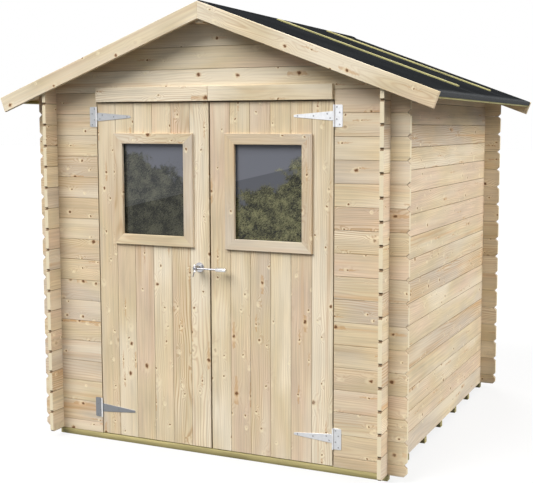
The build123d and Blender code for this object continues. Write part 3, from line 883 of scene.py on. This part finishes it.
def end_tree(graph, geometry, finish):
    """Ends a geometry tree with its material and gives the tree."""
    done = graph.out("GeometryNodeSetMaterial", {"Geometry": geometry, "Material": finish})
    graph.node("NodeGroupOutput", {"Geometry": done})
    return graph.tree


def store(graph, geometry, name, kind, value, domain="POINT"):
    """Stores a named attribute on a geometry."""
    inputs = {"Geometry": geometry, "Name": name, "Value": value}
    return graph.out("GeometryNodeStoreNamedAttribute", inputs, data_type=kind, domain=domain)


def read(graph, name):
    """Reads a named vector attribute."""
    return graph.out("GeometryNodeInputNamedAttribute", {"Name": name}, data_type="FLOAT_VECTOR")


def random_value(graph, kind, low, high, seed):
    """Gives a random value for each instance."""
    return graph.out("FunctionNodeRandomValue", {"Min": low, "Max": high, "Seed": seed}, data_type=kind)


def slat_tree():
    """Builds the tree that lays a row of eased slats side by side."""
    found = bpy.data.node_groups.get("Slat row")
    if found:
        return found
    lengths = [(name, "Float") for name in ("Length", "Width", "Thickness", "Pitch", "Edge")]
    others = (("Count", "Int"), ("Seed", "Int"), ("Finish", "Material"))
    graph, given = new_tree("Slat row", (*lengths, *others))
    end = graph.out("ShaderNodeCombineXYZ", {"X": given["Length"]})
    rail = graph.out("GeometryNodeCurvePrimitiveLine", {"End": end})
    sides = {"Width": given["Width"], "Height": given["Thickness"]}
    shape = graph.out("GeometryNodeCurvePrimitiveQuadrilateral", sides)
    corners = {"Curve": shape, "Radius": given["Edge"], "Count": 1}
    eased = graph.out("GeometryNodeFilletCurve", corners, mode="POLY")
    sweep = {"Curve": rail, "Profile Curve": eased, "Fill Caps": True}
    slat = graph.out("GeometryNodeCurveToMesh", sweep)
    slat = store(graph, slat, "grain", "FLOAT_VECTOR", graph.out("GeometryNodeInputPosition"))
    step = graph.out("ShaderNodeCombineXYZ", {"Y": given["Pitch"]})
    row = graph.out("GeometryNodeMeshLine", {"Count": given["Count"], "Offset": step})
    laid = graph.out("GeometryNodeInstanceOnPoints", {"Points": row, "Instance": slat})
    draws = (("lot", (0.15, 0.0, 0.0), (0.95, 1.0, 1.0)), ("shift", (0.0, -0.1, 0.01), (40.0, 0.1, 0.09)))
    for extra, (name, low, high) in enumerate(draws):
        drawn = random_value(graph, "FLOAT_VECTOR", low, high, given["Seed"] + extra)
        laid = store(graph, laid, name, "FLOAT_VECTOR", drawn, "INSTANCE")
    plain = graph.out("GeometryNodeRealizeInstances", {"Geometry": laid})
    moved = graph.vector("ADD", read(graph, "grain"), read(graph, "shift"))
    plain = store(graph, plain, "grain", "FLOAT_VECTOR", moved)
    # slats get no painted groove shade
    plain = store(graph, plain, "crevice", "FLOAT", 0.0)
    return end_tree(graph, plain, given["Finish"])


def head_tree():
    """Builds the tree that sets a fastener head on each point of a mesh."""
    found = bpy.data.node_groups.get("Fastener heads")
    if found:
        return found
    graph, given = new_tree("Fastener heads", (
        ("Geometry", "Geometry"),
        ("Head", "Object"),
        ("Radius", "Float"),
        ("Facing", "Vector"),
        ("Seed", "Int"),
        ("Finish", "Material"),
    ))
    head = graph.out("GeometryNodeObjectInfo", {"Object": given["Head"]}, "Geometry")
    spin = random_value(graph, "FLOAT", 0.0, math.tau, given["Seed"])
    turned = graph.out("FunctionNodeAxisAngleToRotation", {"Axis": Z_AXIS, "Angle": spin})
    aim = graph.out("FunctionNodeAlignRotationToVector", {"Vector": given["Facing"]}, axis="Z")
    turns = {"Rotation": aim, "Rotate By": turned}
    turn = graph.out("FunctionNodeRotateRotation", turns, rotation_space="LOCAL")
    laying = {"Points": given["Geometry"], "Instance": head, "Rotation": turn, "Scale": given["Radius"]}
    laid = graph.out("GeometryNodeInstanceOnPoints", laying)
    return end_tree(graph, graph.out("GeometryNodeRealizeInstances", {"Geometry": laid}), given["Finish"])


def grow(mesh, tree, settings):
    """Runs a tree with the given settings on a mesh and gives the plain mesh that it makes."""
    carrier = bpy.data.objects.new(mesh.name, mesh)
    bpy.context.scene.collection.objects.link(carrier)
    modifier = carrier.modifiers.new("Grow", "NODES")
    modifier.node_group = tree
    for item in tree.interface.items_tree:
        if item.in_out == "INPUT" and item.name in settings:
            modifier[item.identifier] = settings[item.name]
    view = bpy.context.evaluated_depsgraph_get()
    made = bpy.data.meshes.new_from_object(carrier.evaluated_get(view))
    bpy.data.objects.remove(carrier)
    return made


def slat_row(name, size, pitch, count, seed, finish, place):
    """Lays slats of the given length, width and thickness and gives the plain mesh in its place."""
    settings = {
        **dict(zip(("Length", "Width", "Thickness"), size)),
        "Pitch": pitch,
        "Edge": bpy.context.scene.shed_sizes.eased_edge,
        "Count": count,
        "Seed": seed,
        "Finish": finish,
    }
    made = grow(bpy.data.meshes.new(name), slat_tree(), settings)
    made.transform(place)
    if place.determinant() < 0:
        made.flip_normals()
    return made


class SHED_OT_floor(bpy.types.Operator):
    """Lays the joists and the floor boards"""

    bl_idname = "shed.floor"
    bl_label = "Floor"

    def execute(self, context):
        sizes = context.scene.shed_sizes
        low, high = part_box("floor_joists")
        box = high - low
        width = sizes.joist_width
        pitch = (box.y - width) / (JOIST_COUNT - 1)
        place = Matrix.Translation((low.x, low.y + width / 2, low.z + box.z / 2))
        size = (box.x, width, box.z)
        mesh = slat_row("joist_row", size, pitch, JOIST_COUNT, 3, joist_timber(), place)
        set_piece("joist_row", mesh, "shell", "treated_joist", "floor_joists")

        low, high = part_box("floor_deck")
        box = high - low
        count = round(box.x / sizes.deck_board)
        pitch = box.x / count
        place = basis(low + Vector((pitch / 2, 0.0, box.z / 2)), Y_AXIS, X_AXIS, Z_AXIS)
        size = (box.y, pitch - sizes.board_gap, box.z)
        mesh = slat_row("deck_boards", size, pitch, count, 5, spruce(), place)
        set_piece("deck_boards", mesh, "shell", "floor_board", "floor_deck")
        return {"FINISHED"}


class SHED_OT_roof(bpy.types.Operator):
    """Makes the purlin, roof boards, felt, battens, eave strips and barge boards"""

    bl_idname = "shed.roof"
    bl_label = "Roof"

    def execute(self, context):
        sizes = context.scene.shed_sizes
        self.purlin(sizes)
        for index, (name, side) in enumerate(SIDES):
            self.roof_boards(sizes, f"roof_boards_{name}", side, seed=61 + index)
            self.felt(sizes, f"felt_{name}", side)
            self.battens(sizes, f"felt_battens_{name}", side, seed=71 + index)
            self.eave_strips(sizes, f"eave_strips_{name}", side, seed=75 + index)
            for turn, end in enumerate(("front", "rear")):
                self.barge(sizes, f"barge_{end}_{name}", side, seed=81 + 2 * index + turn)
        return {"FINISHED"}

    def purlin(self, sizes):
        """Makes the ridge beam, its top cut to the slopes."""
        low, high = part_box("ridge_purlin")
        shoulder = high.z - high.x * math.tan(roof_slope()[1])
        outline = [(low.x, low.z), (high.x, low.z), (high.x, shoulder), (0.0, high.z), (low.x, shoulder)]
        stock = Stock(60, tones=(0.2, 0.8))
        place = basis(low.y * Y_AXIS, Y_AXIS, X_AXIS, Z_AXIS)
        stock.plank(outline, high.y - low.y, place, sizes.eased_edge, grain_along_depth=True)
        stock.piece("ridge_beam", spruce(), "trim_board", "ridge_purlin")

    def roof_boards(self, sizes, node, side, seed):
        """Lays the boards that run down one slope."""
        low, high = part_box(node)
        count = round((high.y - low.y) / sizes.roof_board)
        pitch = (high.y - low.y) / count
        size = (sizes.roof_run, pitch - sizes.board_gap, sizes.roof_thickness)
        shift = Matrix.Translation((0.0, low.y + pitch / 2, sizes.roof_thickness / 2))
        place = slope_basis(side, across_y=True) @ shift
        mesh = slat_row(node, size, pitch, count, seed, spruce(), place)
        set_piece(f"{node}_row", mesh, "shell", "roof_board", node)

    def felt(self, sizes, node, side):
        """Makes the felt of one slope, in strips that lap under the battens, folded down at the eave."""
        low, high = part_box(node)
        lean = math.tan(roof_slope()[1])
        under = sizes.roof_thickness
        over = under + sizes.felt_thickness
        edge = sizes.felt_run + sizes.felt_thickness
        drop = under - sizes.felt_fold
        rounded = 0.001
        fold = [(edge - 0.8 * rounded, under + rounded), (edge, under - rounded), (edge, drop)]
        inner = [(sizes.felt_run, drop), (sizes.felt_run, under), (-under * lean, under)]
        # painted highlight on the fold at the eave
        highlight_at_fold = [0.6] + [1.0] * len(fold) + [0.0] * len(inner)
        slack, lap_lift = 0.001, 0.00096
        wave_height, calm_run = 0.0011, 0.12
        ridge_dip = 0.0012
        steps, roll_steps = 28, 6
        roll_end = sizes.batten_start
        runs = [roll_end * index / roll_steps for index in range(roll_steps)]
        runs += [roll_end + (sizes.felt_run - roll_end) * index / steps for index in range(steps + 1)]
        rings, highlights = [], []
        for y, lifted, painted_highlight in self.felt_places(sizes, low.y, high.y):
            top = []
            for run in runs:
                wave = wave_height * noise.noise(Vector((run * 4.0, y * 5.0, 3.0 + side)))
                bend = math.cos(min(1.0, run / roll_end) * math.pi / 2)
                roll = sizes.ridge_roll * bend - ridge_dip * bend ** 8
                loose = min(1.0, run / calm_run) * (lap_lift * lifted + wave)
                top.append((run, over - slack + roll + loose))
            top[0] = (-top[0][1] * lean, top[0][1])
            rings.append([(run, rise, y) for run, rise in top + fold + inner])
            highlights.append([painted_highlight] * (len(top) - 1) + highlight_at_fold)
        stock = Stock(65)
        stock.loft(rings, slope_basis(side, across_y=False), highlights)
        finish = material("Bitumen felt", bitumen_felt)
        stock.piece(f"{node}_sheet", finish, "roofing_felt", node, smooth_angle=math.radians(40))

    def felt_places(self, sizes, start, end):
        """Lists places along the ridge, whether the felt there lies double and how much painted highlight it
        gets at a lap edge.
        """
        low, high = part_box("felt_battens_right")
        laps = [low.y + sizes.batten_width / 2, high.y - sizes.batten_width / 2]
        half = sizes.felt_lap / 2
        step = 0.04
        spots = [(start, False, 0.0)]
        at = start
        while at + step < end:
            at += step
            spots.append((at, any(abs(at - lap) < half for lap in laps), 0.0))
        for lap in laps:
            for turn in (-1, 1):
                edge = lap + turn * half
                # painted highlight on a thin strip at each lap edge
                for away, painted_highlight in ((0.006, 0.0), (0.0004, 0.3)):
                    spots.append((edge - away, turn > 0, painted_highlight))
                    spots.append((edge + away, turn < 0, painted_highlight))
        spots.append((end, False, 0.0))
        return sorted(spots)

    def battens(self, sizes, node, side, seed):
        """Makes the battens that hold the felt laps, with their nails."""
        low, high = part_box(node)
        foot = sizes.roof_thickness + sizes.felt_thickness
        long = sizes.batten_end - sizes.batten_start
        stock = Stock(seed, tones=(0.4, 1.0))
        slope = slope_basis(side, across_y=True)
        nails = []
        for y in (low.y, high.y - sizes.batten_width):
            place = slope @ Matrix.Translation((sizes.batten_start, y, foot))
            stock.bar((long, sizes.batten_width, sizes.batten_height), place, sizes.eased_edge)
            for index in range(NAIL_COUNT):
                run = long * (index + 0.5) / NAIL_COUNT
                across = sizes.batten_width * (0.4 if index % 2 else 0.6)
                nails.append(place @ Vector((run, across, sizes.batten_height)))
        stock.piece(f"{node}_pair", batten_timber(), "treated_batten", node)
        facing = slope.to_3x3() @ Z_AXIS
        heads = head_row(f"{node}_nails", nails, facing, sizes.nail_radius, nail_head, zinc())
        set_piece(f"{node}_nails", heads, "shell", "zinc_steel")

    def eave_strips(self, sizes, node, side, seed):
        """Makes the two strips under the felt's fold."""
        low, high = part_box(node)
        width = sizes.felt_run - sizes.roof_run
        half_gap = sizes.eave_gap / 2
        stock = Stock(seed, tones=(1.0, 1.0))
        along_ridge = basis(Vector(), Z_AXIS, Y_AXIS, X_AXIS)
        for start, end in ((low.y, sizes.eave_joint - half_gap), (sizes.eave_joint + half_gap, high.y)):
            shift = Matrix.Translation((sizes.roof_run, sizes.roof_thickness - sizes.eave_depth, start))
            place = slope_basis(side, across_y=False) @ shift @ along_ridge
            stock.bar((end - start, sizes.eave_depth, width), place, sizes.eased_edge)
        stock.piece(f"{node}_pair", batten_timber(), "treated_batten", node)

    def barge(self, sizes, node, side, seed):
        """Makes a barge board, mitred at the ridge and square at its foot."""
        low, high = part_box(node)
        lean = math.tan(roof_slope()[1])
        foot, head, run = -sizes.barge_drop, sizes.barge_rise, sizes.barge_run
        outline = [(-foot * lean, foot), (run, foot), (run, head), (-head * lean, head)]
        stock = Stock(seed, tones=(0.9, 1.0))
        place = slope_basis(side, across_y=False) @ Matrix.Translation((0.0, 0.0, low.y))
        stock.plank(outline, high.y - low.y, place, sizes.eased_edge)
        stock.piece(f"{node}_board", spruce(), "trim_board", node)


def nail_head(name, finish):
    """Makes the flat head of a nail, one metre in radius, on its own axis."""
    stock = Stock(0)
    profile = ((-0.2, 0.9), (0.1, 1.0), (0.25, 0.9), (0.32, 0.5))
    stock.turned(profile, basis(Vector(), Z_AXIS, X_AXIS, Y_AXIS), sides=10)
    return stock.mesh(name, finish)


def screw_head(name, finish):
    """Makes a domed screw head with a cross recess, one metre in radius, on its own axis."""
    stock = Stock(0)
    arm, width, depth, level = 0.58, 0.15, 0.3, 0.28
    profile = ((-0.2, 0.95), (0.05, 1.0), (level, 0.86))
    stock.turned(profile, basis(Vector(), Z_AXIS, X_AXIS, Y_AXIS), sides=16)
    mesh = stock.mesh(name, finish)
    corners = []
    for quarter in range(4):
        turn = Matrix.Rotation(quarter * math.pi / 2, 3, "Z")
        for spot in ((arm, -width, level), (arm, width, level), (width, width, level)):
            corners.append(turn @ Vector(spot))
    work = bmesh.new()
    work.from_mesh(mesh)
    top = max(work.faces, key=lambda face: face.calc_center_median().z)
    rim = list(top.edges)
    bmesh.ops.delete(work, geom=[top], context="FACES_ONLY")
    high = [work.verts.new(spot) for spot in corners]
    deep = [work.verts.new(spot - depth * Z_AXIS) for spot in corners]
    count = len(corners)
    loop = [work.edges.new((high[index], high[(index + 1) % count])) for index in range(count)]
    for index in range(count):
        after = (index + 1) % count
        work.faces.new((high[index], high[after], deep[after], deep[index]))
    work.faces.new(deep)
    bmesh.ops.triangle_fill(work, edges=rim + loop, use_beauty=True)
    bmesh.ops.recalc_face_normals(work, faces=work.faces)
    work.to_mesh(mesh)
    work.free()
    return mesh


def head_row(name, spots, facing, radius, shape, finish):
    """Sets one fastener head on each spot, all facing one way, and gives the plain mesh."""
    head = bpy.data.objects.new(f"{name}_pattern", shape(f"{name}_pattern", finish))
    bpy.context.scene.collection.objects.link(head)
    points = bpy.data.meshes.new(name)
    points.from_pydata(spots, [], [])
    settings = {"Head": head, "Radius": radius, "Facing": facing, "Seed": 7, "Finish": finish}
    made = grow(points, head_tree(), settings)
    bpy.data.objects.remove(head)
    return made


class SHED_OT_doors(bpy.types.Operator):
    """Makes the boards and ledges of both leaves"""

    bl_idname = "shed.doors"
    bl_label = "Doors"

    def execute(self, context):
        sizes = context.scene.shed_sizes
        for index, (name, side) in enumerate(SIDES):
            self.leaf(sizes, name, side, seed=101 + index)
            self.ledges(sizes, name, seed=111 + index)
        return {"FINISHED"}

    def leaf(self, sizes, name, side, seed):
        """Makes the upright boards of one leaf round its window."""
        node = f"{name}_door_boards"
        low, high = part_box(node)
        pane_low, pane_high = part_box(f"{name}_window_glass")
        near, far = sorted((abs(low.x), abs(high.x)))
        hole = sorted((abs(pane_low.x), abs(pane_high.x)))
        stock = Stock(seed, tones=(0.25, 1.0))
        place = basis(low.y * Y_AXIS, Z_AXIS, side * X_AXIS, Y_AXIS)
        half_gap = sizes.board_gap / 2
        for edge_low, edge_high in courses(near, near + sizes.board_pitch, sizes.board_pitch, far):
            edges = (edge_low + half_gap, edge_high - half_gap)
            beside = self.beside_hole(edges, hole)
            foot = [(low.z, *edges), (pane_low.z, *edges)]
            head = [(pane_high.z, *edges), (high.z, *edges)]
            if beside == edges:
                runs = [[foot[0], head[1]]]
            elif beside:
                runs = [[*foot, (pane_low.z, *beside), (pane_high.z, *beside), *head]]
            else:
                runs = [foot, head]
            for run in runs:
                stations = [Station(*spot, sizes.door_groove, sizes.door_groove) for spot in run]
                stock.board(stations, high.y - low.y, place)
        stock.piece(f"{name}_door_planks", spruce(), "door_board", node, body=f"{name}_door")

    def beside_hole(self, edges, hole):
        """Gives what is left of a board beside the window hole, or nothing where the hole takes it all."""
        low, high = edges
        if high <= hole[0] or low >= hole[1]:
            return edges
        if low < hole[0]:
            return (low, hole[0])
        if high > hole[1]:
            return (hole[1], high)
        return None

    def ledges(self, sizes, name, seed):
        """Makes the level timbers behind one leaf."""
        node = f"{name}_door_ledges"
        low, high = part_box(node)
        stock = Stock(seed)
        half = sizes.ledge_height / 2
        for level in (low.z + half, sizes.ledge_middle, high.z - half):
            foot = Vector((low.x, low.y, level - half))
            head = Vector((high.x, high.y, level + half))
            stock.beam(foot, head, 2 * sizes.eased_edge)
        stock.piece(f"{name}_door_ledge_boards", spruce(), "trim_board", node, body=f"{name}_door")


class SHED_OT_windows(bpy.types.Operator):
    """Makes the mitred window frames and finishes the panes"""

    bl_idname = "shed.windows"
    bl_label = "Windows"

    def execute(self, context):
        sizes = context.scene.shed_sizes
        for index, (name, _) in enumerate(SIDES):
            for turn, kind in enumerate(("window_frame", "window_inner_frame")):
                outside = kind == "window_frame"
                self.mitred_frame(sizes, name, f"{name}_{kind}", outside, seed=121 + 2 * index + turn)
            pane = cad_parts[f"{name}_window_glass"]
            pane.data.materials.clear()
            pane.data.materials.append(material("Window glass", glass_with_painted_reflection))
        return {"FINISHED"}

    def mitred_frame(self, sizes, name, node, outside, seed):
        """Makes four members that meet in mitres, with a bevel round the sight."""
        low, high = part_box(node)
        half = (high - low) / 2
        depth = high.y - low.y
        member, bead, edge = sizes.frame_member, sizes.frame_bead, sizes.eased_edge
        section = (
            (edge, 0.0), (member - bead, 0.0), (member, bead), (member, depth), (0.0, depth), (0.0, edge))
        middle = (low + high) / 2
        middle.y = low.y if outside else high.y
        through = Y_AXIS if outside else -Y_AXIS
        stock = Stock(seed, tones=(0.0, 0.55))
        members = (
            (half.x, half.z, X_AXIS, Z_AXIS),
            (half.x, half.z, X_AXIS, -Z_AXIS),
            (half.z, half.x, Z_AXIS, X_AXIS),
            (half.z, half.x, Z_AXIS, -X_AXIS),
        )
        for half_long, half_wide, along, across in members:
            reach = half_long - sizes.mitre_gap
            rings = [[(end * (reach - t), t, d) for t, d in section] for end in (-1, 1)]
            stock.loft(rings, basis(middle - across * half_wide, along, across, through))
        stock.piece(f"{node}_members", spruce(), "trim_board", node, body=f"{name}_door")


class SHED_OT_hinges(bpy.types.Operator):
    """Makes the strap hinges with their barrels and screws"""

    bl_idname = "shed.hinges"
    bl_label = "Hinges"
    tones = {"left": (0.06, 0.45), "right": (0.75, 1.0)}

    def execute(self, context):
        sizes = context.scene.shed_sizes
        for name, side in SIDES:
            self.plates(sizes, name, side)
            self.straps(sizes, name, side)
        return {"FINISHED"}

    def plates(self, sizes, name, side):
        """Makes the wall plates with the fixed knuckles."""
        node = f"hinge_plates_{name}"
        near, far = sorted(abs(corner.x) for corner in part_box(node))
        axis_x = near + sizes.barrel_radius
        half, wide = sizes.plate_height / 2, far - axis_x
        corner, parting = 0.004, 0.0215
        outline = [(0.0, -half), (wide - corner, -half), (wide, corner - half)]
        outline += [(x, -z) for x, z in reversed(outline)]
        knuckles = ((-half, -parting), (parting, half))
        holes = ((0.013, 0.039), (0.027, 0.015), (0.013, -0.015), (0.027, -0.039))
        flat = Flat(side * axis_x, side, outline, knuckles, holes)
        self.steel(sizes, name, node, "shell", flat, seed=131)

    def straps(self, sizes, name, side):
        """Makes the tapered straps with the turning knuckles."""
        node = f"{name}_hinge_straps"
        near, far = sorted(abs(corner.x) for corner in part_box(node))
        axis_x = far - sizes.barrel_radius
        half = sizes.strap_height / 2
        tip, root = 0.006, 0.012
        centre = axis_x - near - tip
        arc = [math.radians(80 - 20 * index) for index in range(9)]
        outline = [(0.0, -half), (root, -half)]
        outline += [(centre + tip * math.cos(a), -tip * math.sin(a)) for a in arc]
        outline += [(root, half), (0.0, half)]
        knuckles = ((-half, half),)
        holes = ((0.019, -0.010), (0.033, 0.009), (0.1, 0.0), (0.178, 0.0))
        flat = Flat(side * axis_x, -side, outline, knuckles, holes)
        self.steel(sizes, name, node, f"{name}_door", flat, seed=135)

    def steel(self, sizes, name, node, body, flat, seed):
        """Makes one half of a leaf's two hinges: flat steel from the pin outwards, knuckles and screws."""
        low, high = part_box(node)
        pin_y = low.y + sizes.barrel_radius
        face_y = high.y - sizes.hinge_thickness
        plate_low, plate_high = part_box(f"hinge_plates_{name}")
        half = sizes.plate_height / 2
        stock = Stock(seed)
        screws = []
        for level, tone in zip((plate_low.z + half, plate_high.z - half), self.tones[name]):
            stock.tones = (tone, tone)
            place = basis(Vector((flat.axis_x, high.y, level)), flat.turn * X_AXIS, Z_AXIS, -Y_AXIS)
            stock.plank(flat.outline, sizes.hinge_thickness, place, sizes.hinge_edge)
            stock.tones = (1.0, 1.0)
            for foot, head in flat.knuckles:
                self.knuckle(stock, sizes.barrel_radius, Vector((flat.axis_x, pin_y, level)), foot, head)
            screws += [(flat.axis_x + flat.turn * x, face_y, level + z) for x, z in flat.holes]
        stock.piece(f"{node}_pair", zinc(), "zinc_steel", node, body, smooth_angle=math.radians(35))
        heads = head_row(f"{node}_screws", screws, -Y_AXIS, sizes.screw_radius, screw_head, screw_steel())
        set_piece(f"{node}_screws", heads, body, "zinc_steel")

    def knuckle(self, stock, radius, pin, foot, head):
        """Adds one round knuckle of a hinge barrel."""
        soft = 0.0006
        slim = radius - soft
        profile = ((foot, slim), (foot + soft, radius), (head - soft, radius), (head, slim))
        stock.turned(profile, basis(pin, Z_AXIS, X_AXIS, Y_AXIS), sides=20)


class SHED_OT_latch(bpy.types.Operator):
    """Makes the rose and the lever of the latch"""

    bl_idname = "shed.latch"
    bl_label = "Latch"

    def execute(self, context):
        low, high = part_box("latch_rose")
        pin = (low + high) / 2
        pin.y = high.y
        radius, depth = (high.z - low.z) / 2, high.y - low.y
        plate, neck, soft = 0.005, 0.012, 0.0012
        stock = Stock(141, tones=(0.7, 0.7))
        stock.turned((
            (0.0, radius),
            (plate - soft, radius),
            (plate, radius - soft),
            (plate, neck + soft),
            (plate + soft, neck),
            (depth - soft, neck),
            (depth, neck - soft),
        ), basis(pin, -Y_AXIS, X_AXIS, Z_AXIS), sides=48)
        stock.piece(
            "latch_rose_turned",
            latch_metal(),
            "bright_metal",
            "latch_rose",
            body="left_door",
            smooth_angle=math.radians(30),
        )
        self.lever(pin, rose_top=-low.y)
        return {"FINISHED"}

    def lever(self, pin, rose_top):
        """Makes the lever: spindle and hub on the rose, a slim arm and a thick grip."""
        low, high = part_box("latch_lever")
        hub = (high.z - low.z) / 2
        spindle, arm, grip = 0.0055, 0.0045, 0.0105
        grip_start = 0.053
        soft, gap = 0.0015, 0.0004
        # painted shade and dark reflection: spindle and hub made dark
        stock = Stock(143, tones=(0.2, 0.2))
        stock.turned((
            (-high.y, spindle),
            (rose_top + gap, spindle),
            (rose_top + 2 * gap, hub - soft),
            (rose_top + 2 * gap + soft, hub),
            (-low.y - 3 * soft, hub),
            (-low.y - soft, hub - soft),
            (-low.y, hub - 3 * soft),
        ), basis(Vector((pin.x, 0.0, pin.z)), -Y_AXIS, X_AXIS, Z_AXIS), sides=40)
        # painted shade and dark reflection: the arm made darker than the grip
        stock.tones = (0.25, 0.25)
        along = basis(Vector((0.0, low.y + hub, pin.z)), X_AXIS, Y_AXIS, Z_AXIS)
        stock.turned(((pin.x, arm), (grip_start + 3 * soft, arm)), along, sides=40)
        stock.tones = (1.0, 1.0)
        stock.turned((
            (grip_start, grip - 2 * soft),
            (grip_start + soft, grip - soft / 2),
            (grip_start + 2 * soft, grip),
            (high.x - soft, grip),
            (high.x, grip - soft),
        ), along, sides=40)
        self.thumb_turn(stock, Vector((pin.x, low.y, pin.z)))
        stock.piece(
            "latch_lever_turned",
            latch_metal(),
            "bright_metal",
            "latch_lever",
            body="latch_lever",
            smooth_angle=math.radians(40),
        )

    def thumb_turn(self, stock, tip):
        """Adds the two lobes on the end of the hub and the thin tail below them."""
        lobe, spread, tail, tail_reach = 0.007, 0.0135, 0.0026, 0.043
        middle = tip + lobe * Y_AXIS
        bend = [math.radians(angle) for angle in range(-80, 90, 20)]
        ball = [(lobe * math.sin(angle), lobe * math.cos(angle)) for angle in bend]
        for turn in (-1, 1):
            stock.turned(ball, basis(middle + turn * spread * Z_AXIS, Z_AXIS, X_AXIS, Y_AXIS), sides=20)
        stock.tones = (0.1, 0.1)
        drop = Vector((-0.25, 0.0, -1.0)).normalized()
        profile = ((spread, tail), (tail_reach - tail, tail), (tail_reach, 0.4 * tail))
        stock.turned(profile, basis(middle, drop, drop.cross(Y_AXIS), Y_AXIS), sides=16)


class SHED_OT_stage(bpy.types.Operator):
    """Sets the floor, the light and the camera"""

    bl_idname = "shed.stage"
    bl_label = "Stage"

    def execute(self, context):
        scene = context.scene
        light = scene.shed_light
        scene.view_settings.view_transform = "Standard"
        self.floor(scene, light)
        self.surroundings(scene, light)
        self.lamp(scene, light, "Key", light.key, KEY_HEADING)
        self.lamp(scene, light, "Side", light.side, SIDE_HEADING)
        self.lamp(scene, light, "Fill", light.fill, FILL_HEADING)
        self.camera(scene)
        return {"FINISHED"}

    def floor(self, scene, light):
        """Makes the pale floor."""
        half = light.floor_size
        mesh = bpy.data.meshes.new("studio_floor")
        corners = [(-half, -half, 0.0), (half, -half, 0.0), (half, half, 0.0), (-half, half, 0.0)]
        mesh.from_pydata(corners, [], [(0, 1, 2, 3)])
        mesh.materials.append(material("Studio floor", pale_floor))
        floor = bpy.data.objects.new("studio_floor", mesh)
        scene.collection.objects.link(floor)

    def surroundings(self, scene, light):
        """Makes a white surround that lights the object at a plain level."""
        world = bpy.data.worlds.new("Studio")
        scene.world = world
        world.use_nodes = True
        graph = Graph(world.node_tree)
        lit = graph.out("ShaderNodeBackground", {"Color": light.sky, "Strength": light.ambient})
        shown = graph.out("ShaderNodeBackground", {"Color": WHITE, "Strength": 1.0})
        graph.node("ShaderNodeOutputWorld", {"Surface": graph.seen(lit, shown)})

    def lamp(self, scene, light, name, energy, heading):
        """Hangs one wide soft lamp that shines along its heading."""
        lamp = bpy.data.lights.new(name, "SUN")
        lamp.energy = energy
        lamp.angle = light.lamp_angle
        lamp.color = light.sun
        holder = bpy.data.objects.new(name, lamp)
        holder.rotation_euler = Vector(heading).to_track_quat("-Z", "Y").to_euler()
        scene.collection.objects.link(holder)

    def camera(self, scene):
        """Sets the camera at the photograph's viewing angle."""
        lens = bpy.data.cameras.new("Camera")
        lens.lens = CAMERA_LENS
        lens.sensor_width = CAMERA_SENSOR
        lens.shift_x, lens.shift_y = CAMERA_SHIFT
        lens.clip_end = CAMERA_REACH
        holder = bpy.data.objects.new("Camera", lens)
        holder.location = CAMERA_PLACE
        holder.rotation_euler = Vector(CAMERA_AIM).to_track_quat("-Z", "Y").to_euler()
        scene.collection.objects.link(holder)
        scene.camera = holder


class SHED_PT_panel(bpy.types.Panel):
    """Lists the shed's pieces, sizes and finishes"""

    bl_idname = "SHED_PT_panel"
    bl_label = "Garden shed"
    bl_space_type = "VIEW_3D"
    bl_region_type = "UI"
    bl_category = "Shed"

    def draw(self, context):
        layout = self.layout
        for operator in OPERATORS:
            layout.operator(operator.bl_idname)
        for name, group in GROUPS:
            box = layout.box()
            for field in group.__annotations__:
                box.prop(getattr(context.scene, name), field)


OPERATORS = (
    SHED_OT_walls,
    SHED_OT_doorway,
    SHED_OT_floor,
    SHED_OT_roof,
    SHED_OT_doors,
    SHED_OT_windows,
    SHED_OT_hinges,
    SHED_OT_latch,
    SHED_OT_stage,
)
GROUPS = (("shed_sizes", ShedSizes), ("shed_colours", ShedColours), ("shed_light", ShedLight))


def register():
    """Registers the property groups, the operators and the panel."""
    for name, group in GROUPS:
        bpy.utils.register_class(group)
        setattr(bpy.types.Scene, name, PointerProperty(type=group))
    for item in (*OPERATORS, SHED_PT_panel):
        bpy.utils.register_class(item)


def unregister():
    """Removes what register added."""
    for item in reversed((*OPERATORS, SHED_PT_panel)):
        bpy.utils.unregister_class(item)
    for name, group in reversed(GROUPS):
        delattr(bpy.types.Scene, name)
        bpy.utils.unregister_class(group)


def main():
    """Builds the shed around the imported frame."""
    register()
    bpy.ops.shed.walls()
    bpy.ops.shed.doorway()
    bpy.ops.shed.floor()
    bpy.ops.shed.roof()
    bpy.ops.shed.doors()
    bpy.ops.shed.windows()
    bpy.ops.shed.hinges()
    bpy.ops.shed.latch()
    bpy.ops.shed.stage()


if __name__ == "__main__":
    main()
